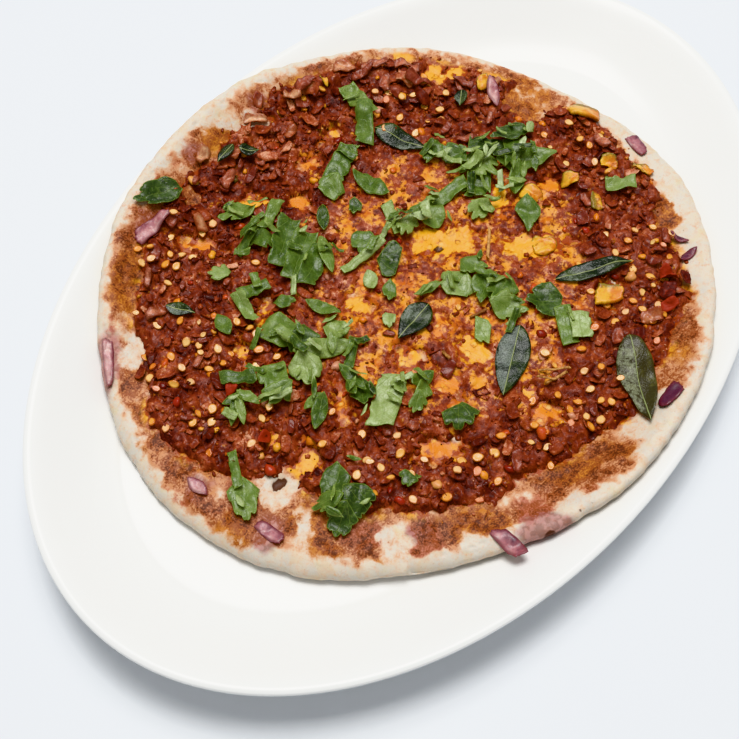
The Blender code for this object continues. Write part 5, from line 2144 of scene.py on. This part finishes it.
CORIANDER_LEAVES = {
    "heap_left": (
        (FAN, -10, 65, 156, 15, 11, 0.4, 2), (FAN, -15, 52.5, -93, 15, 10, 0.4, 2),
        (STRIP, -6, 55, 13, 14, 4, 0.55, 2.5), (STRIP, -19, 54.5, -3, 10, 3.5, 0.3),
        (STRIP, -11.5, 44.5, -154, 20.5, 7.5, 0.35, 2.5), (STRIP, -12, 37.5, -158, 20.5, 8, 0.6),
        (STRIP, -14, 31, -164, 18.5, 7, 0.5, 2.5), (BLADE, -7, 30.5, -129, 16, 5, 0.4, 2.5)),
    "heap_back": (
        (FAN, 47.5, 4.5, 176, 16, 12.5, 0.55, 2), (FAN, 55, 10, -97, 18, 14.5, 0.7, 3),
        (FAN, 53, 18.5, 87, 12, 10, 0.4, 2.5), (FAN, 50, 25.5, -163, 12, 7, 0.35, 3),
        (STRIP, 63, 10.5, -61, 14, 6.5, 0.25, 2.5), (STRIP, 34, 12.5, 163, 24, 5.5, 0.6, 2),
        (STRIP, 18.5, 20.5, -126, 14, 4.5, 0.6, 2), (FAN, 19, 15.5, -164, 11, 8, 0.55, 2.5),
        (FAN, 27, 10, -176, 13, 9, 0.6, 2.5), (FAN, 40, -1, -171, 12, 10, 0.5, 2.5),
        (BLADE, 66, -3.5, -47, 22, 8.5, 0.3, 3), (FAN, 65.5, 2.5, -166, 15, 10, 0.3, 2),
        (FAN, 72, 6, 144, 16, 10, 0.35, 3), (BLADE, 57, -5.5, -153, 14, 6, 0.65, 2)),
    "heap_front": (
        (FAN, -41, 24.5, 148, 14, 13, 0.5, 2.5), (FAN, -39, 17, -148, 13, 12, 0.35, 2),
        (FAN, -29, 10.5, -128, 11, 9, 0.65, 2.5), (BLADE, -37.5, 9.5, 142, 20, 7, 0.8, 3.5),
        (FAN, -47, 9.5, -130, 12, 12, 0.65, 2), (FAN, -55, 15, -163, 13, 13.5, 0.5, 3),
        (FAN, -59, 11.5, 162, 12, 9, 0.6), (STRIP, -33, 1.5, -155, 12, 3.4)),
    "heap_centre": (
        (STRIP, -40, -17.5, -158, 21, 9, 0.8, 2.5), (FAN, -43, -9.5, -138, 12, 9, 0.4, 2.5),
        (BLADE, -41, -4.5, -106, 14, 4, 0.4), (FAN, -34.5, -18, -134, 9, 5.5, 0.7, 2.5)),
    "heap_right": (
        (FAN, 8, -12, -177, 14, 13, 0.55, 2.5), (FAN, 17.5, -12.5, -96, 11, 10, 0.5, 2.5),
        (FAN, 13, -20, -164, 14, 11, 0.6, 2), (FAN, 15.5, -25, -176, 14, 11, 0.4, 3),
        (FAN, 10.5, -30.5, -69, 13, 11, 0.45, 2), (STRIP, 1.5, -5.5, 162, 9, 3, 0.7)),
    "heap_near": (
        (FAN, -72.5, -21, -158, 16.5, 11, 0.35, 2.5), (FAN, -74, -30, -100, 13, 11, 0.3, 3),
        (FAN, -81.5, -29, -165, 10, 10, 0.35, 2), (FAN, -79.5, -23, 142, 10, 7, 0.6, 2)),
    "leaf_bent_far": ((STRIP, 53, 59.5, -112, 17, 7), (STRIP, 45.5, 51.5, -145, 18, 6.5, 0.3)),
    "leaf_bent_upper": ((STRIP, 26.5, 48.5, -167, 16, 7.5, 0.6), (FAN, 16, 45.5, -174, 12, 10, 0.65)),
    "leaf_folded": ((BLADE, 26.5, 35.5, -92, 16, 7.5, 0.35, 2.2),),
    "leaf_round": ((FAN, 47, -16, -146, 14, 10, 0.3),),
    "leaf_dark": ((FAN, 4, 11.5, -66, 10, 15, 0.25, 2),),
    "leaf_pale": ((BLADE, -6, 13, -132, 9, 5, 0.75),),
    "leaf_grey": ((FAN, -6, 5, -146, 9, 6),),
    "leaf_olive": ((FAN, 5, 24, -148, 12, 9, 0.35), (STRIP, -0.5, 20, -15, 18, 3, 0.6)),
    "leaf_chip": ((FAN, -15.5, -1, -141, 8, 5, 0.65),),
    "leaf_narrow": ((BLADE, 5, 40.5, -142, 11.5, 4.5, 0.3),),
    "leaf_small": ((FAN, 15.5, 35, -145, 7.5, 6.5, 0.25),),
    "leaf_rim": ((FAN, -22, 88.5, 158, 19, 10, 0.3, 2),),
    "leaf_yellow": ((FAN, -34, 54, 128, 8, 8, 0.55),),
    "leaf_bent_left": ((STRIP, -32.5, 41.5, 153, 11, 4.5, 0.25), (STRIP, -39.5, 40, -115, 12, 4.5)),
    "leaf_dark_round": ((FAN, -31, 30, -55, 7.5, 6, 0.15),),
    "leaf_arch": ((BLADE, -24.5, 19, -75, 12.5, 5, 0.35, 1.8),),
    "leaf_curl": ((BLADE, -49, 41, -116, 10, 5.5, 0.4),),
    "leaf_strip": ((STRIP, -62.5, 25, -55, 11.5, 4.5, 0.3),),
    "sprig_left": (
        (BLADE, -68, 20.5, 152, 10, 4), (BLADE, -71, 18.5, -155, 13, 3.6, 0.45),
        (BLADE, -71, 16.5, -131, 10, 3.2), (BLADE, -66.5, 17, -89, 9, 3.8, 0.6)),
    "leaf_pair": ((BLADE, -54.5, 0.5, 171, 9, 4), (BLADE, -56.5, -3, -156, 14, 5, 0.35)),
    "sprig_centre": (
        (BLADE, -28, -22.5, 168, 10, 5), (FAN, -31.5, -25, 162, 9, 6.5, 0.4),
        (FAN, -36.5, -26, -164, 7.5, 6.5, 0.4)),
    "leaf_broad": ((FAN, -32, -38.5, -147, 11, 14, 0.35),),
    "leaf_low": ((FAN, -59, -38.5, -149, 7, 7, 0.25),),
    "leaf_notched": ((FAN, 20.5, -40, 132, 15, 14, 0.4),),
    "leaf_triangle": ((FAN, -1.5, -28, -117, 12, 8, 0.55),),
    "leaf_double": ((STRIP, 15, -50, -137, 15, 6, 0.65), (STRIP, 17.5, -53.5, -143, 11, 7, 0.7)),
    "leaf_right": ((STRIP, 74.5, -36.5, -48, 10.5, 5.5),),
    "leaf_near_left": ((FAN, -92, -0.5, -134, 15, 10, 0.35), (STRIP, -86.5, 7, -133, 12, 3)),
}


def pieces_of(rows: Iterable[tuple]) -> list[Piece]:
    """Pieces from rows of a cut and its numbers."""
    return [Piece(*row) for row in rows]


@dataclass
class Scraps:
    """Flat scraps of chilli or onion strewn over the craggy paste."""

    strewing: Strewing
    count: int
    seed: int
    spacing: float = 4.2
    length: tuple[float, float] = (2.6, 5.6)

    def pieces(self) -> list[Piece]:
        """Scraps in the places that are found for them.

        Returns:
            The scraps.
        """
        layers = self.strewing.layers
        draw = np.random.default_rng(self.seed)

        def share(x: Array, y: Array) -> Array:
            """Scraps lie well inside the paste, where it is craggy."""
            return (layers.cover(x, y) > 2.0) * layers.craggy(x, y) ** 2

        made = []
        for x, y in self.strewing.places(self.count, self.seed + 1, self.spacing, share):
            length = draw.uniform(*self.length)
            made.append(Piece(WEDGE, x, y, draw.uniform(0, 360), length, length * draw.uniform(0.5, 0.9),
                              rise=draw.uniform(0.2, 1.2), tone=draw.uniform(0.3, 1.0)))
        return made


def shreds(pieces: Sequence[Piece], count: int) -> list[Piece]:
    """Small cuttings strewn among a heap's pieces.

    Args:
        pieces: The heap's own pieces.
        count: How many cuttings to make.

    Returns:
        The cuttings.
    """
    draw = np.random.default_rng(pieces[0].seed())
    made = []
    for number in range(count):
        among = pieces[number % len(pieces)]
        turn, away = draw.uniform(0, math.tau), draw.uniform(0.15, 0.6)
        length = draw.uniform(3.5, 8.0)
        cut = (BLADE, FAN, STRIP, STRIP)[draw.integers(4)]
        x = among.x + away * among.length * math.cos(turn)
        y = among.y + away * among.width * math.sin(turn)
        made.append(Piece(cut, x, y, draw.uniform(0, 360), length, length * draw.uniform(0.22, 0.5),
                          np.clip(among.tone + draw.normal(0.08, 0.25), 0, 1), 2.2))
    return made


# How many cuttings the fullest heaps hold.
SHREDS = {"heap_left": 18, "heap_back": 44, "heap_front": 20, "heap_centre": 8, "heap_right": 12,
          "heap_near": 4}


@dataclass
class Garnish:
    """Everything laid on the masala, one piece after another, each on what lies below it."""

    ground: Raster
    ceiling: float = CEILING

    def lay(self, node: str, name: str, pieces: Sequence[Piece], style: SlabStyle,
            finish: Material) -> None:
        """Lay pieces of one kind and join them into one.

        Args:
            node: The node, or an empty name for a piece that stands for none.
            name: Name of the finished piece.
            pieces: Its cut pieces, the lowest first.
            style: How they are made.
            finish: Their material.
        """
        verts, faces, marks, edges, start = [], [], [], [], 0
        for piece in pieces:
            support = self._support(piece, style)
            points, sides, row, edge = Slab(piece, style).mesh(support)
            points[:, 2] -= max(0.0, points[:, 2].max() - self.ceiling)
            faces += [tuple(i + start for i in side) for side in sides]
            start += len(points)
            verts.append(points)
            marks.append(row)
            edges.append(edge)
            upper = points[:len(points) // 2]
            for dx in (-0.4, 0.0, 0.4):
                for dy in (-0.4, 0.0, 0.4):
                    self.ground.raise_to(upper[:, 0] + dx, upper[:, 1] + dy, upper[:, 2])
        leaf = np.vstack(marks)
        make_piece(name, np.vstack(verts), faces, finish, (node,) if node else (),
                   {"leaf": leaf, "edge": np.concatenate(edges), "paste": leaf[:, 2:] * (1.0, 0.0, 0.0)})

    def _support(self, piece: Piece, style: SlabStyle) -> Raster:
        """Heights near a piece that it rests on: the ground's high points, smoothed.

        Args:
            piece: The piece.
            style: How it is made.

        Returns:
            The heights.
        """
        values, pitch, reach = self.ground.values, self.ground.pitch, piece.length / 2 + 8
        window = []
        for middle, start, size in zip((piece.y, piece.x), (Raster.REACH_Y, Raster.REACH_X), values.shape):
            ends = (int((middle + side * reach + start) / pitch) for side in (-1, 1))
            window.append(slice(*(min(max(end, 0), size) for end in ends)))
        part = Raster(values[tuple(window)].copy(), pitch).widened(0.9).blurred(style.sag)
        whole = values.copy()
        whole[tuple(window)] = part.values
        return Raster(whole, pitch)


# Camera, light and table


@dataclass(frozen=True)
class Studio:
    """Camera at the picture's viewing angle, soft light from above and a pale table."""

    target: tuple[float, float, float] = (-0.0316, -0.0045, 0.010)
    distance: float = 0.381
    azimuth: float = -55.06
    elevation: float = 60.8
    view_width: float = 35.0
    sensor: float = 36.0
    # Metres to the picture's right, away from the camera and up.
    lamp_place: tuple[float, float, float] = (-0.03, 0.24, 1.12)
    lamp_side: float = 0.6
    lamp_watts: float = 15.0
    lamp_colour: Colour = (1.0, 0.99, 0.975)
    sky_colour: Colour = (0.985, 0.985, 1.0)
    sky_strength: float = 0.38
    table_reach: float = 1500.0
    table_drop: float = 0.03

    def _axes(self) -> tuple[Vector, Vector]:
        """The picture's rightward and away directions on the table."""
        turn = math.radians(self.azimuth)
        return (Vector((math.cos(turn), math.sin(turn), 0)), Vector((-math.sin(turn), math.cos(turn), 0)))

    def place_camera(self) -> None:
        """Make the camera and use it."""
        _, away = self._axes()
        lift = math.radians(self.elevation)
        target = Vector(self.target)
        data = bpy.data.cameras.new("camera")
        data.sensor_width = self.sensor
        data.lens = self.sensor / 2 / math.tan(math.radians(self.view_width / 2))
        data.clip_start = 0.01
        camera = bpy.data.objects.new("camera", data)
        camera.location = target - away * self.distance * math.cos(lift)
        camera.location.z += self.distance * math.sin(lift)
        camera.rotation_euler = (target - camera.location).to_track_quat("-Z", "Y").to_euler()
        bpy.context.scene.collection.objects.link(camera)
        bpy.context.scene.camera = camera

    def place_light(self) -> None:
        """Make the square soft light that faces the plate."""
        rightward, outward = self._axes()
        right, away, up = self.lamp_place
        data = bpy.data.lights.new("window_light", "AREA")
        data.size = self.lamp_side
        data.energy = self.lamp_watts
        data.color = self.lamp_colour
        lamp = bpy.data.objects.new("window_light", data)
        lamp.location = rightward * right + outward * away + Vector((0, 0, up))
        lamp.rotation_euler = (Vector((0, 0, 0.01)) - lamp.location).to_track_quat("-Z", "Y").to_euler()
        bpy.context.scene.collection.objects.link(lamp)

    def build(self, table: Material) -> None:
        """Make the camera, the light, the sky and the table.

        Args:
            table: The table's material.
        """
        self.place_camera()
        self.place_light()
        world = bpy.data.worlds.new("sky")
        world.use_nodes = True
        sky = world.node_tree.nodes["Background"]
        sky.inputs["Color"].default_value = (*self.sky_colour, 1.0)
        sky.inputs["Strength"].default_value = self.sky_strength
        bpy.context.scene.world = world
        bpy.context.scene.view_settings.view_transform = "Khronos PBR Neutral"
        sides = (-self.table_reach, self.table_reach)
        verts = np.array([(x, y, -self.table_drop) for y in sides for x in sides])
        mesh = bpy.data.meshes.new("table")
        mesh.from_pydata((verts * MM).tolist(), [], [(0, 1, 3, 2)])
        mesh.materials.append(table)
        top = bpy.data.objects.new("table", mesh)
        bpy.context.scene.collection.objects.link(top)


@dataclass
class Topping:
    """Everything that lies on the batter and the paste, from crumbs to leaves."""

    layers: Layers
    paste: Material
    pitch: float = 0.5
    chilli_scraps: int = 170
    onion_scraps: int = 90
    soaked: OnionFinish = OnionFinish("soaked_onion", srgb(198, 130, 100), srgb(166, 90, 66),
                                      srgb(118, 52, 42), srgb(106, 42, 28), 0.45, 0.4)
    bits: OnionFinish = OnionFinish("onion_bit", srgb(210, 166, 128), srgb(184, 116, 78), srgb(110, 56, 56),
                                    srgb(138, 62, 36), 0.6)
    # Its third colour is the painted sheen.
    olive: CurryLeafFinish = CurryLeafFinish("olive_leaf", srgb(58, 54, 32), srgb(100, 98, 54),
                                             srgb(136, 142, 116))
    skins: TwoToneFinish = TwoToneFinish("chilli_skin", srgb(150, 50, 30), srgb(78, 22, 15), 0.22)
    stalks: TwoToneFinish = TwoToneFinish("stalk", srgb(200, 150, 92), srgb(128, 80, 44), 0.15)

    def _ground(self, x: Array, y: Array) -> Array:
        """Height of the food's upper face, masala included, and of a level stretch round it.

        Args:
            x: Places along X.
            y: Places along Y.

        Returns:
            The heights.
        """
        layers, shape = self.layers, self.layers.shape
        depth, _, _ = layers.masala(x, y)
        level = layers.bed.at(x, y) + 0.4 * shape.thick
        return np.where(shape.inward(x, y) > 1.0, layers.crust(x, y) + np.maximum(depth, 0), level)

    def build(self) -> None:
        """Strew what is small, then lay the rest one on another, the leaves last."""
        ground = Raster.of(self._ground, self.pitch)
        strewing = Strewing(self.layers, ground)
        Crumbs(strewing).build(self.paste)
        Crumbs(strewing, "masala_bits", seed=131, spacing=3.5, count=130, size=(2.0, 4.6)).build(
            BitFinish().make())
        Flakes(strewing).build(self.paste)
        garnish = Garnish(ground)
        soaked = self.soaked.make()
        garnish.lay("", "chilli_scraps", Scraps(strewing, self.chilli_scraps, 141).pieces(), SCRAP_STYLE,
                    self.paste)
        garnish.lay("", "onion_scraps", Scraps(strewing, self.onion_scraps, 151).pieces(), SCRAP_STYLE,
                    soaked)
        Seeds(strewing).build(SeedFinish().make())
        pepper, onion, leaf = PepperFinish().make(), OnionFinish().make(), CurryLeafFinish().make()
        olive, bits = self.olive.make(), self.bits.make()
        for name, rows, style, finish, slot in (
                ("dark_chilli_skins", CHILLI_SKINS, SKIN_STYLE, self.paste, "masala"),
                ("red_chilli_skins", RED_SKINS, SKIN_STYLE, self.skins.make(), "masala"),
                ("soaked_slices", SOAKED_SLICES, SKIN_STYLE, soaked, "masala"),
                ("onion_bits", ONION_BITS, BIT_STYLE, bits, "masala"),
                ("pepper_bits", PEPPER_BITS, BIT_STYLE, pepper, "pepper"),
                ("stalks", STALKS, STALK_STYLE, self.stalks.make(), "masala")):
            garnish.lay("", name, pieces_of(rows), style, finish)
        for kind, table, style, finish, slot in (
                ("onion_slice", ONION_SLICES, ONION_STYLE, onion, "onion"),
                ("pepper_piece", PEPPER_PIECES, PEPPER_STYLE, pepper, "pepper"),
                ("curry_leaf", CURRY_LEAVES, CURRY_STYLE, leaf, "curry_leaf")):
            for place, row in table.items():
                node = f"{kind}_{place}"
                dress = olive if node == "curry_leaf_right" else finish
                garnish.lay(node, f"{node}_fine", pieces_of([row]), style, dress)
        herb = HerbFinish().make()
        for place, rows in CORIANDER_LEAVES.items():
            node = f"coriander_{place}"
            pieces = pieces_of(rows)
            extra = shreds(pieces, SHREDS.get(place, len(pieces) // 2))
            garnish.lay(node, f"{node}_fine", (*pieces, *extra), HERB_STYLE, herb)


def main() -> None:
    """Build every piece in order, from the plate up."""
    logging.basicConfig(level=logging.INFO, format="%(message)s")
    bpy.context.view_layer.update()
    Studio().build(TableFinish().make())
    plate = PlateShape()
    layers = Layers(FoodShape(plate))
    Plate(plate).build(PorcelainFinish().make())
    Batter(layers).build(BatterFinish().make())
    paste = MasalaFinish().make()
    Masala(layers).build(paste)
    Topping(layers, paste).build()


if __name__ == "__main__":
    main()
